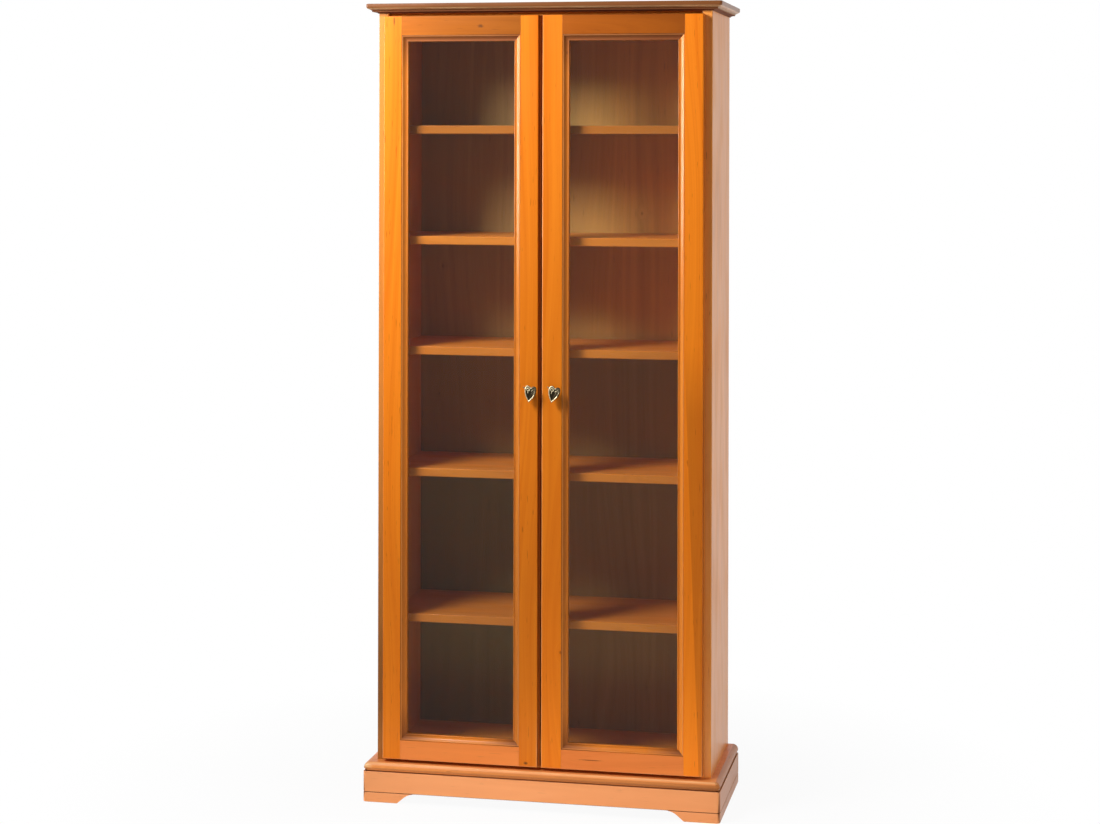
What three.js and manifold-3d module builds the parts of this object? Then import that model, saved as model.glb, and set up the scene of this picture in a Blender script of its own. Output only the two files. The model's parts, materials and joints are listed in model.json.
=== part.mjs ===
// A tall bookcase with two glazed doors, in millimetres, +Z up, front towards -Y.
// The origin is on the floor, under the middle of the whole bookcase, knobs included.
// Inside the functions, y is counted from the front face of the closed doors.

import * as THREE from 'three';
import * as BufferGeometryUtils from 'three/addons/utils/BufferGeometryUtils.js';
import Module from 'manifold-3d';

const wasm = await Module();
wasm.setup();

// Overall sizes
const totalHeight = 2000;
const totalWidth = 900;
const baseDepth = 370;
const baseReach = 39.5;
const sideReach = 27;

// Plays, joints and cuts
const jointGap = 0.3;
const cutOverrun = 5;
const jointOverlap = 1;

// Carcass
const sideThickness = 25;
const sideArris = 2;
const topPanelThickness = 22;
const topPanelArris = 1;
const topPanelLip = 6;
const topPanelRebate = 15;
const floorPanelThickness = 20;
const backThickness = 5;
const backSink = 1;
const backRebateWidth = 10;
const backPlay = 0.5;

// Shelves, from the lowest up, as shares of the height inside
const shelfThickness = 21;
const shelfSetback = 20;
const shelfArris = 2;
const shelfEndPlay = 0.8;
const shelfBackPlay = 3;
const shelfTopShares = [0.188, 0.387, 0.553, 0.7035, 0.8545];
const shelfIsFixed = [false, false, true, false, false];

// Bent wires that carry the adjustable shelves, and their holes in the sides
const wireRadius = 1.5;
const wireLegDepth = 12;
const wireStandOff = 5;
const wireBend = 3;
const wireInsetFront = 45;
const wireInsetBack = 40;
const kerfPlay = 5;
const kerfLead = 15;
const spareHolePitch = 32;

// Cornice
const corniceThickness = 15;
const corniceReach = 28.5;
const corniceCorner = 6;
const corniceUnderInset = 8;
const corniceEdgeHeight = 2;
const corniceRoundWidth = 5;
const corniceRoundHeight = 6;
const corniceTopRadius = 3;
const coveHeight = 8.5;
const coveTopReach = 17.5;
const coveFilletReach = 14.7;
const coveFilletHeight = 2.8;
const coveHollowRise = 2.7;
const coveBottomReach = 3;
const coveFoot = 0.8;

// Base board and plinth
const baseBoardThickness = 22;
const baseCorner = 9;
const baseBoardInset = 0.6;
const baseGrooveHeight = 3.2;
const baseGrooveInset = 4;
const baseFilletTop = 7.2;
const baseFilletInset = 2;
const baseBand = 1.5;
const plinthHeight = 76;
const plinthThickness = 20;
const plinthGrooveLow = 24;
const plinthGrooveHeight = 2;
const plinthGrooveDepth = 2.5;
const plinthArris = 1;
const footLength = 88;
const archCurveLength = 48;
const archRiseInGroove = 0.5;
const archSteepShares = [0.4, 0.62];
const archFlatShare = 0.5;

// Doors
const doorThickness = 22;
const doorBackGap = 1.5;
const doorGapBottom = 8;
const doorGapTop = 8;
const doorMeetingGap = 5;
const doorSideReveal = 19;
const hingeStileFace = 46;
const meetingStileFace = 50.5;
const railFace = 48;
const doorArris = 3;
const doorBackArris = 0.8;
const meetingStepWidth = 4.8;
const meetingStepDepth = 9;

// Moulding round the glass, from the face of the frame to the sight line
const mouldingWidth = 16.5;
const mouldingLip = 9;
const quirkDepth = 1.6;
const outerBeadRadius = 2;
const outerBeadShares = [0.5, 0.8];
const hollowStep = 0.5;
const hollowStartDepth = 2.6;
const hollowSag = 1.3;
const innerBeadRadius = 1.6;
const innerBeadDrop = 1.8;
const rebateWidth = 9;

// Glass and its bead
const glassThickness = 4;
const glassPlay = 1.5;
const glazingBeadWidth = 8.5;
const glazingBeadArris = 2;

// Hinges
const hingeCupRadius = 17.5;
const hingeCupWall = 1;
const cupSides = 24;
const hingeCupBoreDepth = 11.5;
const hingeCupEdge = 5;
const hingeFlangeThickness = 1.2;
const hingeFlangeWidth = 22;
const hingeFlangeHeight = 58;
const hingeFlangeCorner = 6;
const hingeHeightShares = [0.065, 0.5, 0.935];
const hingeTipTaper = 3;
const hingeArmOffset = 10;
const hingeArmWidth = 7;
const hingeArmHeight = 13;
const hingeArmLength = 62;
const hingeFootStart = 26;
const hingeFootThickness = 10;
const hingePlateHeight = 44;
const hingePlateWidth = 26;
const hingePlateThickness = 3;
const hingeScrewHeadRadius = 3.6;
const hingeScrewHeadHeight = 1.4;
const hingeScrewSpacing = 32;

// Magnetic catches and strike plates
const catchWidth = 46;
const catchDepth = 17;
const catchHeight = 13;
const catchFromMeetingEdge = 72;
const catchMagnetWidth = 26;
const catchMagnetReach = 0.8;
const strikeWidth = 34;
const strikeHeight = 11;
const strikeThickness = 0.7;

// Knobs: a cast heart on a neck and a rose
const knobHeight = 1035;
const leftKnobInset = 20;
const rightKnobInset = 34.5;
const leftKnobTurn = THREE.MathUtils.degToRad(9);
const rightKnobTurn = THREE.MathUtils.degToRad(15);
const knobReach = 22;
const heartHalfWidth = 14.5;
const heartTop = 17;
const heartTip = 24;
const heartShares = [
  [[0.35, -0.72], [0.95, -0.3], [1, 0.26]],
  [[1.05, 0.74], [0.85, 1], [0.55, 1]],
  [[0.3, 1], [0.1, 0.81], [0, 0.74]],
];
const heartThickness = 6;
const heartBevel = 1.6;
const knobNeckRadius = 4.2;
const neckFlareShare = 1.4;
const neckStartShare = 1.6;
const knobRoseRadius = 8.5;
const knobRoseThickness = 2.5;
const roseEdgeShare = 0.5;
const roseShoulderShare = 0.8;
const knobScrewRadius = 2;
const knobScrewPlay = 0.4;
const knobScrewGrip = 10;
const knobScrewTipPlay = 3;
const knobScrewHeadRadius = 4.5;
const knobScrewHeadHeight = 2.4;
const screwHeadEdgeShare = 0.5;
const screwHeadTopShare = 0.7;

// Places that follow from the sizes above
const carcassWidth = totalWidth - 2 * sideReach;
const carcassFront = doorThickness + doorBackGap;
const baseFront = carcassFront - baseReach;
const backFace = baseFront + baseDepth;
const backPanelFront = backFace - backThickness - backSink;
const innerHalf = carcassWidth / 2 - sideThickness;
const carcassBottom = plinthHeight + baseBoardThickness;
const floorTop = carcassBottom + floorPanelThickness;
const carcassTop = totalHeight - corniceThickness;
const ceiling = carcassTop - topPanelThickness;
const coveBottom = carcassTop - coveHeight;
const doorBottom = carcassBottom + doorGapBottom;
const doorTop = coveBottom - doorGapTop;
const doorHeight = doorTop - doorBottom;
const doorOuterEdge = -(carcassWidth / 2 - doorSideReveal);
const doorMeetingEdge = -doorMeetingGap / 2;
const openingLeft = doorOuterEdge + hingeStileFace;
const openingRight = doorMeetingEdge - meetingStileFace;
const openingBottom = doorBottom + railFace;
const openingTop = doorTop - railFace;
const glassFront = mouldingLip + jointGap;
const shelfFront = carcassFront + shelfSetback;
const shelfBack = backPanelFront - shelfBackPlay;
const frontOfAll = -knobReach;
const middleDepth = (frontOfAll + backFace) / 2;

const satin = { roughness: 0.42, metalness: 0 };
const cherry = new THREE.MeshStandardMaterial({ color: 0xd9782a, ...satin });
const cherryLight = new THREE.MeshStandardMaterial({ color: 0xf0923a, ...satin });
const cherryDark = new THREE.MeshStandardMaterial({ color: 0xb0622c, ...satin });
const backBoard = new THREE.MeshStandardMaterial({ color: 0x8a5030, roughness: 0.6, metalness: 0 });
const steel = new THREE.MeshStandardMaterial({ color: 0xb8babd, roughness: 0.3, metalness: 1 });
const plastic = new THREE.MeshStandardMaterial({ color: 0x7a4a28, roughness: 0.5, metalness: 0 });
const oldBrass = new THREE.MeshStandardMaterial({ color: 0x8c7448, roughness: 0.4, metalness: 1 });
const glass = new THREE.MeshStandardMaterial({
  color: 0xe8f0ee,
  roughness: 0.05,
  metalness: 0,
  transparent: true,
  opacity: 0.25,
});

const bookcase = new THREE.Group();
bookcase.position.y = -middleDepth;

function add(name, geometry, material) {
  const mesh = new THREE.Mesh(geometry, material);
  mesh.name = name;
  bookcase.add(mesh);
}

// Turn a geometry into a solid for cutting and joining, and back.
function solid(geometry) {
  const bare = geometry.clone();
  bare.deleteAttribute('normal');
  bare.deleteAttribute('uv');
  const merged = BufferGeometryUtils.mergeVertices(bare);
  return new wasm.Manifold(new wasm.Mesh({
    numProp: 3,
    vertProperties: merged.attributes.position.array,
    triVerts: Uint32Array.from(merged.index.array),
  }));
}

function geometryOf(manifold) {
  const mesh = manifold.getMesh();
  const geometry = new THREE.BufferGeometry();
  geometry.setAttribute('position', new THREE.BufferAttribute(mesh.vertProperties, 3));
  geometry.setIndex(new THREE.BufferAttribute(mesh.triVerts, 1));
  return geometry;
}

// A block between two corners.
function block(low, high) {
  const geometry = new THREE.BoxGeometry(high[0] - low[0], high[1] - low[1], high[2] - low[2]);
  const middle = [0, 1, 2].map((i) => (low[i] + high[i]) / 2);
  return geometry.translate(...middle);
}

// Close a stack of equal rings of points with a cap at each end.
function closeRings(rings, capShape) {
  const count = rings[0].length;
  const positions = rings.flat().flatMap((point) => [point.x, point.y, point.z]);
  const faces = [];
  for (let ring = 0; ring < rings.length - 1; ring++) {
    for (let i = 0; i < count; i++) {
      const next = (i + 1) % count;
      const low = ring * count;
      const high = low + count;
      faces.push(low + i, low + next, high + next);
      faces.push(low + i, high + next, high + i);
    }
  }
  const last = (rings.length - 1) * count;
  for (const [a, b, c] of THREE.ShapeUtils.triangulateShape(capShape, [])) {
    faces.push(c, b, a);
    faces.push(last + a, last + b, last + c);
  }
  const geometry = new THREE.BufferGeometry();
  geometry.setAttribute('position', new THREE.Float32BufferAttribute(positions, 3));
  geometry.setIndex(faces);
  return geometry;
}

// A board lying flat, whose edge profile runs along the chosen sides.
// plan has left, right, front and back; levels are [height, inset] from the bottom up;
// sides lists the moulded sides; corner rounds the two front corners.
function mouldedBoard(plan, levels, sides, corner = 0) {
  const cornerSteps = corner > 0 ? 5 : 0;
  const ring = (inset) => {
    const left = plan.left + (sides.includes('left') ? inset : 0);
    const right = plan.right - (sides.includes('right') ? inset : 0);
    const front = plan.front + (sides.includes('front') ? inset : 0);
    const back = plan.back - (sides.includes('back') ? inset : 0);
    const points = [];
    for (let step = 0; step <= cornerSteps; step++) {
      const angle = cornerSteps ? (step / cornerSteps) * Math.PI / 2 : 0;
      const x = left + corner * (1 - Math.cos(angle));
      const y = front + corner * (1 - Math.sin(angle));
      points.push(new THREE.Vector2(x, y));
    }
    for (let step = cornerSteps; step >= 0; step--) {
      const angle = cornerSteps ? (step / cornerSteps) * Math.PI / 2 : 0;
      const x = right - corner * (1 - Math.cos(angle));
      const y = front + corner * (1 - Math.sin(angle));
      points.push(new THREE.Vector2(x, y));
    }
    points.push(new THREE.Vector2(right, back));
    points.push(new THREE.Vector2(left, back));
    return points;
  };
  const rings = levels.map(([height, inset]) => (
    ring(inset).map((point) => new THREE.Vector3(point.x, point.y, height))
  ));
  return closeRings(rings, ring(levels[0][1]));
}

// A length of moulding along x from 0 to length. The profile is a list of [reach, height],
// anticlockwise as seen from the far end. A mitre of 1 makes that end longer as the reach
// grows, -1 makes it shorter, and 0 leaves it square.
function mitredLength(profile, length, startMitre, endMitre) {
  const shape = profile.map(([reach, height]) => new THREE.Vector2(reach, height));
  const end = (at, mitre) => shape.map((p) => {
    return new THREE.Vector3(at + mitre * Math.max(p.x, 0), p.x, p.y);
  });
  return closeRings([end(0, -startMitre), end(length, endMitre)], shape);
}

// Points of an arc in a profile, from one angle to another in degrees.
function arc(centre, radii, from, to, steps) {
  return Array.from({ length: steps + 1 }, (_, step) => {
    const angle = THREE.MathUtils.degToRad(from + ((to - from) * step) / steps);
    return [centre[0] + radii[0] * Math.cos(angle), centre[1] + radii[1] * Math.sin(angle)];
  });
}

// The same piece on the other side of the bookcase.
function mirrored(geometry) {
  const copy = geometry.clone().scale(-1, 1, 1);
  const index = copy.index.array;
  for (let i = 0; i < index.length; i += 3) {
    [index[i], index[i + 1]] = [index[i + 1], index[i]];
  }
  return copy;
}

// A round bar or hole along x or y, between two places on that axis.
function roundBar(axis, radius, from, to, across, height, sides = 16) {
  const bar = new THREE.CylinderGeometry(radius, radius, to - from, sides);
  const middle = (from + to) / 2;
  if (axis === 'x') {
    return bar.rotateZ(Math.PI / 2).translate(middle, across, height);
  }
  return bar.translate(across, middle, height);
}

function shelfTop(index) {
  return floorTop + shelfTopShares[index] * (ceiling - floorTop);
}

function wireHeight(index) {
  return shelfTop(index) - shelfThickness / 2;
}

// Carcass

function sidePanel() {
  const outer = -carcassWidth / 2;
  const inner = outer + sideThickness;
  const outline = new THREE.Shape();
  outline.moveTo(outer, carcassFront + sideArris);
  outline.absarc(outer + sideArris, carcassFront + sideArris, sideArris, Math.PI, 1.5 * Math.PI);
  outline.absarc(inner - sideArris, carcassFront + sideArris, sideArris, 1.5 * Math.PI, 2 * Math.PI);
  outline.lineTo(inner, backPanelFront);
  outline.lineTo(inner - backRebateWidth, backPanelFront);
  outline.lineTo(inner - backRebateWidth, backFace);
  outline.lineTo(outer, backFace);
  const length = carcassTop - carcassBottom;
  const panel = new THREE.ExtrudeGeometry(outline, {
    depth: length,
    bevelEnabled: false,
    curveSegments: 3,
  });
  let body = solid(panel.translate(0, 0, carcassBottom));
  for (const index of adjustableShelves()) {
    for (const offset of [-spareHolePitch, 0, spareHolePitch]) {
      body = body.subtract(wireHole(wireFrontY(), wireHeight(index) + offset));
      body = body.subtract(wireHole(wireBackY(), wireHeight(index) + offset));
    }
  }
  return geometryOf(body);
}

function wireHole(y, height) {
  const bottom = -innerHalf - wireLegDepth - jointGap;
  return solid(roundBar('x', wireRadius + jointGap, bottom, -innerHalf + cutOverrun, y, height, 8));
}

function backPanel() {
  const half = innerHalf + backRebateWidth - backPlay;
  const back = backPanelFront + backThickness;
  return block([-half, backPanelFront, carcassBottom], [half, back, carcassTop]);
}

function panelBetweenSides(bottom, thickness, front, arris) {
  const plan = { left: -innerHalf, right: innerHalf, front, back: backPanelFront };
  return mouldedBoard(plan, roundedEdgeLevels(bottom, thickness, arris), ['front']);
}

// The top panel, with a rebate along its front that leaves a dark space over the doors.
function topPanel() {
  const plan = { left: -innerHalf, right: innerHalf, front: carcassFront, back: backPanelFront };
  const levels = [
    [0, topPanelArris],
    [topPanelArris, 0],
    [topPanelLip, 0],
    [topPanelLip, topPanelRebate],
    [topPanelThickness, topPanelRebate],
  ].map(([height, inset]) => [ceiling + height, inset]);
  return mouldedBoard(plan, levels, ['front']);
}

// Levels of a board whose edge has a small round at the top and at the bottom.
function roundedEdgeLevels(bottom, thickness, radius) {
  const low = arc([radius, radius], [radius, radius], 270, 180, 3);
  const high = arc([radius, thickness - radius], [radius, radius], 180, 90, 3);
  return [...low, ...high].map(([inset, height]) => [bottom + height, inset]);
}

// Shelves and their wires

function wireFrontY() {
  return shelfFront + wireInsetFront;
}

function wireBackY() {
  return shelfBack - wireInsetBack;
}

function adjustableShelves() {
  return [...shelfTopShares.keys()].filter((index) => !shelfIsFixed[index]);
}

function shelf(index) {
  const bottom = shelfTop(index) - shelfThickness;
  if (shelfIsFixed[index]) {
    return panelBetweenSides(bottom, shelfThickness, shelfFront, shelfArris);
  }
  const half = innerHalf - shelfEndPlay;
  const plan = { left: -half, right: half, front: shelfFront, back: shelfBack };
  const levels = roundedEdgeLevels(bottom, shelfThickness, shelfArris);
  const board = solid(mouldedBoard(plan, levels, ['front']));
  const kerf = wireKerf(wireHeight(index));
  return geometryOf(board.subtract(solid(kerf)).subtract(solid(mirrored(kerf))));
}

// The saw cut in the right end of a shelf that slides over its wire.
function wireKerf(height) {
  const half = wireRadius + jointGap;
  const inside = innerHalf - wireStandOff - wireRadius - kerfPlay;
  return block(
    [inside, wireFrontY() - kerfLead, height - half],
    [innerHalf + cutOverrun, shelfBack + cutOverrun, height + half],
  );
}

function shelfWire(index) {
  const height = wireHeight(index);
  const inside = -innerHalf;
  const run = inside + wireStandOff;
  const front = wireFrontY();
  const back = wireBackY();
  const bend = wireBend;
  const bendShare = 1 - Math.SQRT1_2;
  const points = [
    [inside - wireLegDepth, front],
    [inside, front],
    [run - bend, front],
    [run - bend * bendShare, front + bend * bendShare],
    [run, front + bend],
    [run, (front + back) / 2],
    [run, back - bend],
    [run - bend * bendShare, back - bend * bendShare],
    [run - bend, back],
    [inside, back],
    [inside - wireLegDepth, back],
  ].map(([x, y]) => new THREE.Vector3(x, y, height));
  return tubeThrough(points, wireRadius, 8);
}

// A round tube whose rings stand at the given points, square to the way through.
function tubeThrough(points, radius, sides) {
  const up = new THREE.Vector3(0, 0, 1);
  const rings = points.map((point, i) => {
    const before = points[Math.max(i - 1, 0)];
    const after = points[Math.min(i + 1, points.length - 1)];
    const along = new THREE.Vector3().subVectors(after, before).normalize();
    const across = new THREE.Vector3().crossVectors(up, along);
    return Array.from({ length: sides }, (_, side) => {
      const angle = (side / sides) * 2 * Math.PI;
      return point.clone()
        .addScaledVector(across, radius * Math.cos(angle))
        .addScaledVector(up, radius * Math.sin(angle));
    });
  });
  const cap = rings[0].map((_, side) => {
    const angle = (side / sides) * 2 * Math.PI;
    return new THREE.Vector2(Math.cos(angle), Math.sin(angle));
  });
  return closeRings(rings, cap);
}

// Cornice

function corniceBoard() {
  const plan = {
    left: -totalWidth / 2,
    right: totalWidth / 2,
    front: carcassFront - corniceReach,
    back: backFace,
  };
  const roundTop = corniceEdgeHeight + corniceRoundHeight;
  const radii = [corniceRoundWidth, corniceRoundHeight];
  const lowRound = arc([corniceRoundWidth, roundTop], radii, 270, 180, 6);
  const topCentre = [corniceTopRadius, corniceThickness - corniceTopRadius];
  const topRound = arc(topCentre, [corniceTopRadius, corniceTopRadius], 180, 90, 4);
  const levels = [
    [0, corniceUnderInset],
    ...[...lowRound, ...topRound].map(([inset, height]) => [height, inset]),
  ].map(([height, inset]) => [carcassTop + height, inset]);
  return mouldedBoard(plan, levels, ['left', 'right', 'front'], corniceCorner);
}

function coveProfile() {
  const radii = [coveFilletReach - coveBottomReach, coveHollowRise];
  const hollow = arc([coveFilletReach, coveFoot], radii, 180, 90, 6);
  return [
    [0, 0],
    [coveBottomReach, 0],
    ...hollow,
    [coveFilletReach, coveFoot + coveHollowRise + coveFilletHeight],
    [coveTopReach, coveHeight],
    [0, coveHeight],
  ];
}

function coveFrontLength() {
  const strip = mitredLength(coveProfile(), carcassWidth, 1, 1);
  return strip.rotateZ(Math.PI).translate(carcassWidth / 2, carcassFront, coveBottom);
}

function coveLeftLength() {
  const length = backFace - carcassFront - jointGap;
  const strip = mitredLength(coveProfile(), length, 1, 0);
  return strip.rotateZ(Math.PI / 2).translate(-carcassWidth / 2, carcassFront + jointGap, coveBottom);
}

// Base board and plinth

function baseBoard() {
  const inset = baseBoardInset;
  const plan = {
    left: -totalWidth / 2 + inset,
    right: totalWidth / 2 - inset,
    front: baseFront + inset,
    back: backFace,
  };
  const roundBottom = baseFilletTop + baseBand;
  const radius = baseBoardThickness - roundBottom;
  const round = arc([radius, roundBottom], [radius, radius], 180, 90, 7);
  const levels = [
    [0, baseGrooveInset],
    [baseGrooveHeight, baseGrooveInset],
    [baseGrooveHeight, baseFilletInset],
    [baseFilletTop, baseFilletInset],
    [baseFilletTop, 0],
    ...round.map(([roundInset, height]) => [height, roundInset]),
  ].map(([height, levelInset]) => [plinthHeight + height, levelInset]);
  return mouldedBoard(plan, levels, ['left', 'right', 'front'], baseCorner);
}

function plinthShell() {
  const plan = { left: -totalWidth / 2, right: totalWidth / 2, front: baseFront, back: backFace };
  const grooveTop = plinthGrooveLow + plinthGrooveHeight;
  const levels = [
    [0, plinthArris],
    [plinthArris, 0],
    [plinthGrooveLow, 0],
    [plinthGrooveLow, plinthGrooveDepth],
    [grooveTop, plinthGrooveDepth],
    [grooveTop, 0],
    [plinthHeight, 0],
  ];
  const outer = solid(mouldedBoard(plan, levels, ['left', 'right', 'front'], baseCorner));
  const inside = totalWidth / 2 - plinthThickness;
  const hollow = block(
    [-inside, baseFront + plinthThickness, -cutOverrun],
    [inside, backFace + cutOverrun, plinthHeight + cutOverrun],
  );
  return outer.subtract(solid(hollow));
}

// The part of the plinth in front of its two mitre joints.
function mitreWedge(shift) {
  const half = totalWidth / 2 + cutOverrun;
  const depth = plinthThickness + 2 * cutOverrun;
  const wedge = new THREE.Shape([
    new THREE.Vector2(-half + shift, baseFront - cutOverrun),
    new THREE.Vector2(half - shift, baseFront - cutOverrun),
    new THREE.Vector2(half - depth - shift, baseFront - cutOverrun + depth),
    new THREE.Vector2(-half + depth + shift, baseFront - cutOverrun + depth),
  ]);
  const height = plinthHeight + 2 * cutOverrun;
  const geometry = new THREE.ExtrudeGeometry(wedge, { depth: height, bevelEnabled: false });
  return solid(geometry.translate(0, 0, -cutOverrun));
}

// The space under the front board, between its two feet: a steep curve at each foot that
// runs out into the flat soffit.
function archSpace() {
  const footEnd = totalWidth / 2 - footLength;
  const curveEnd = footEnd - archCurveLength;
  const soffit = plinthGrooveLow + archRiseInGroove;
  const steepEnd = footEnd - archCurveLength * archSteepShares[0];
  const steepHeight = soffit * archSteepShares[1];
  const flatStart = footEnd - archCurveLength * archFlatShare;
  const outline = new THREE.Shape();
  outline.moveTo(-footEnd, -cutOverrun);
  outline.lineTo(footEnd, -cutOverrun);
  outline.lineTo(footEnd, 0);
  outline.bezierCurveTo(steepEnd, steepHeight, flatStart, soffit, curveEnd, soffit);
  outline.lineTo(-curveEnd, soffit);
  outline.bezierCurveTo(-flatStart, soffit, -steepEnd, steepHeight, -footEnd, 0);
  const depth = plinthThickness + 2 * cutOverrun;
  const space = new THREE.ExtrudeGeometry(outline, { depth, bevelEnabled: false, curveSegments: 8 });
  return solid(space.rotateX(Math.PI / 2).translate(0, baseFront + plinthThickness + cutOverrun, 0));
}

function plinthFront() {
  return geometryOf(plinthShell().intersect(mitreWedge(0)).subtract(archSpace()));
}

function plinthSide() {
  const leftHalf = block(
    [-totalWidth / 2 - cutOverrun, baseFront - cutOverrun, -cutOverrun],
    [0, backFace + cutOverrun, plinthHeight + cutOverrun],
  );
  const body = plinthShell().intersect(solid(leftHalf)).subtract(mitreWedge(-2 * jointGap));
  return geometryOf(body);
}

function plinthBackRail() {
  const half = totalWidth / 2 - plinthThickness;
  return block([-half, backFace - plinthThickness, 0], [half, backFace, plinthHeight]);
}

// Doors, drawn for the left side

function mouldingProfile() {
  const [beadSinkShare, beadRiseShare] = outerBeadShares;
  const beadCentre = [outerBeadRadius, quirkDepth + outerBeadRadius * beadSinkShare];
  const outerBead = arc(beadCentre, [outerBeadRadius, outerBeadRadius * beadRiseShare], 180, 330, 5);
  const hollowStart = 2 * outerBeadRadius + hollowStep;
  const hollowEnd = mouldingWidth - 2 * innerBeadRadius - hollowStep;
  const hollowEndDepth = mouldingLip - innerBeadDrop;
  const hollowSteps = 6;
  const hollow = Array.from({ length: hollowSteps + 1 }, (_, step) => {
    const share = step / hollowSteps;
    const reach = THREE.MathUtils.lerp(hollowStart, hollowEnd, share);
    const straight = THREE.MathUtils.lerp(hollowStartDepth, hollowEndDepth, share);
    return [reach, straight + hollowSag * Math.sin(Math.PI * share)];
  });
  const innerBead = arc([mouldingWidth - innerBeadRadius, hollowEndDepth],
    [innerBeadRadius, innerBeadRadius], 200, 360, 5);
  const rebate = mouldingWidth - rebateWidth;
  return [
    [-jointOverlap, doorArris + jointOverlap],
    [0, quirkDepth],
    ...outerBead,
    ...hollow,
    ...innerBead,
    [mouldingWidth, mouldingLip],
    [rebate, mouldingLip],
    [rebate, doorThickness],
    [-jointOverlap, doorThickness - doorBackArris - jointOverlap],
  ];
}

// One member of a door frame seen from the front: a flat block with its arrises, and the
// moulding along the glass. It runs along x from 0 to length, with the glass above it.
function flatBlock(left, right, bottom, top, sides) {
  const plan = { left, right, front: bottom, back: top };
  const arrisSteps = arc([doorArris, doorThickness - doorArris], [doorArris, doorArris], 180, 90, 4);
  const levels = [
    [0, doorBackArris],
    [doorBackArris, 0],
    ...arrisSteps.map(([inset, height]) => [height, inset]),
  ];
  const board = mouldedBoard(plan, levels, sides);
  return solid(board.rotateX(Math.PI / 2).translate(0, doorThickness, 0));
}

function mouldingAlong(length) {
  const profile = mouldingProfile();
  return mitredLength(profile, length, -1, -1);
}

function hingeStile() {
  const flat = flatBlock(doorOuterEdge, openingLeft, doorBottom, doorTop, ['left', 'front', 'back']);
  const upright = standing(mouldingAlong(openingTop - openingBottom), 1)
    .translate(openingLeft, 0, openingBottom);
  let body = flat.add(solid(upright));
  const boreBottom = doorThickness - hingeCupBoreDepth;
  const boreTop = doorThickness + cutOverrun;
  for (const height of hingeHeights()) {
    const bore = roundBar('y', hingeCupRadius, boreBottom, boreTop, cupCentre(), height, cupSides);
    body = body.subtract(solid(bore));
  }
  return geometryOf(body);
}

// Stand a length of moulding upright; its reach points to +x or, with side -1, to -x.
function standing(geometry, side) {
  const basis = new THREE.Matrix4().makeBasis(
    new THREE.Vector3(0, 0, 1),
    new THREE.Vector3(side, 0, 0),
    new THREE.Vector3(0, 1, 0),
  );
  return turned(geometry, basis);
}

// Lay a length of moulding along x; its reach points to +z or, with side -1, to -z.
function lying(geometry, side) {
  const basis = new THREE.Matrix4().makeBasis(
    new THREE.Vector3(1, 0, 0),
    new THREE.Vector3(0, 0, side),
    new THREE.Vector3(0, 1, 0),
  );
  return turned(geometry, basis);
}

function turned(geometry, basis) {
  geometry.applyMatrix4(basis);
  if (basis.determinant() < 0) {
    const index = geometry.index.array;
    for (let i = 0; i < index.length; i += 3) {
      [index[i], index[i + 1]] = [index[i + 1], index[i]];
    }
  }
  return geometry;
}

// The left door's meeting edge has a step: its front part stands back from the other door.
function meetingStile(knobInset, stepWidth) {
  const frontEdge = doorMeetingEdge - stepWidth;
  let flat = flatBlock(openingRight, frontEdge, doorBottom, doorTop, ['right', 'front', 'back']);
  if (stepWidth > 0) {
    flat = flat.add(backStep(frontEdge));
  }
  const upright = standing(mouldingAlong(openingTop - openingBottom), -1)
    .translate(openingRight, 0, openingBottom);
  const hole = roundBar('y', knobScrewRadius + knobScrewPlay, -cutOverrun, doorThickness + cutOverrun,
    doorMeetingEdge - knobInset, knobHeight, 12);
  return geometryOf(flat.add(solid(upright)).subtract(solid(hole)));
}

function backStep(frontEdge) {
  const plan = {
    left: frontEdge - 2 * doorArris,
    right: doorMeetingEdge,
    front: doorBottom,
    back: doorTop,
  };
  const thickness = doorThickness - meetingStepDepth;
  const levels = [
    [0, doorBackArris],
    [doorBackArris, 0],
    [thickness - doorBackArris, 0],
    [thickness, doorBackArris],
  ];
  const board = mouldedBoard(plan, levels, ['right', 'front', 'back']);
  return solid(board.rotateX(Math.PI / 2).translate(0, doorThickness, 0));
}

function rail(bottom, top, glassAbove) {
  const left = openingLeft + jointGap;
  const right = openingRight - jointGap;
  const flat = flatBlock(left, right, bottom, top, [glassAbove ? 'front' : 'back']);
  const moulding = lying(mouldingAlong(right - left), glassAbove ? 1 : -1)
    .translate(left, 0, glassAbove ? top : bottom);
  return geometryOf(flat.add(solid(moulding)));
}

function glassPane() {
  const reach = mouldingWidth - rebateWidth + glassPlay;
  return block(
    [openingLeft + reach, glassFront, openingBottom + reach],
    [openingRight - reach, glassFront + glassThickness, openingTop - reach],
  );
}

function glazingBead() {
  const reach = mouldingWidth - rebateWidth + jointGap;
  const back = doorThickness - jointGap;
  const front = glassFront + glassThickness + jointGap;
  const plan = {
    left: openingLeft + reach,
    right: openingRight - reach,
    front: openingBottom + reach,
    back: openingTop - reach,
  };
  const outer = mouldedBoard(plan, [[-back, 0], [-front, 0]], []);
  const hole = {
    left: plan.left + glazingBeadWidth,
    right: plan.right - glazingBeadWidth,
    front: plan.front + glazingBeadWidth,
    back: plan.back - glazingBeadWidth,
  };
  const levels = [
    [-back - cutOverrun, -glazingBeadArris - cutOverrun],
    [-back, -glazingBeadArris],
    [-back + glazingBeadArris, 0],
    [-front + cutOverrun, 0],
  ];
  const inner = mouldedBoard(hole, levels, ['left', 'right', 'front', 'back']);
  const ring = solid(outer.rotateX(Math.PI / 2)).subtract(solid(inner.rotateX(Math.PI / 2)));
  return geometryOf(ring);
}

// Hinges, drawn for the left side

function hingeHeights() {
  return hingeHeightShares.map((share) => doorBottom + share * doorHeight);
}

function cupCentre() {
  return doorOuterEdge + hingeCupEdge + hingeCupRadius;
}

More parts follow.
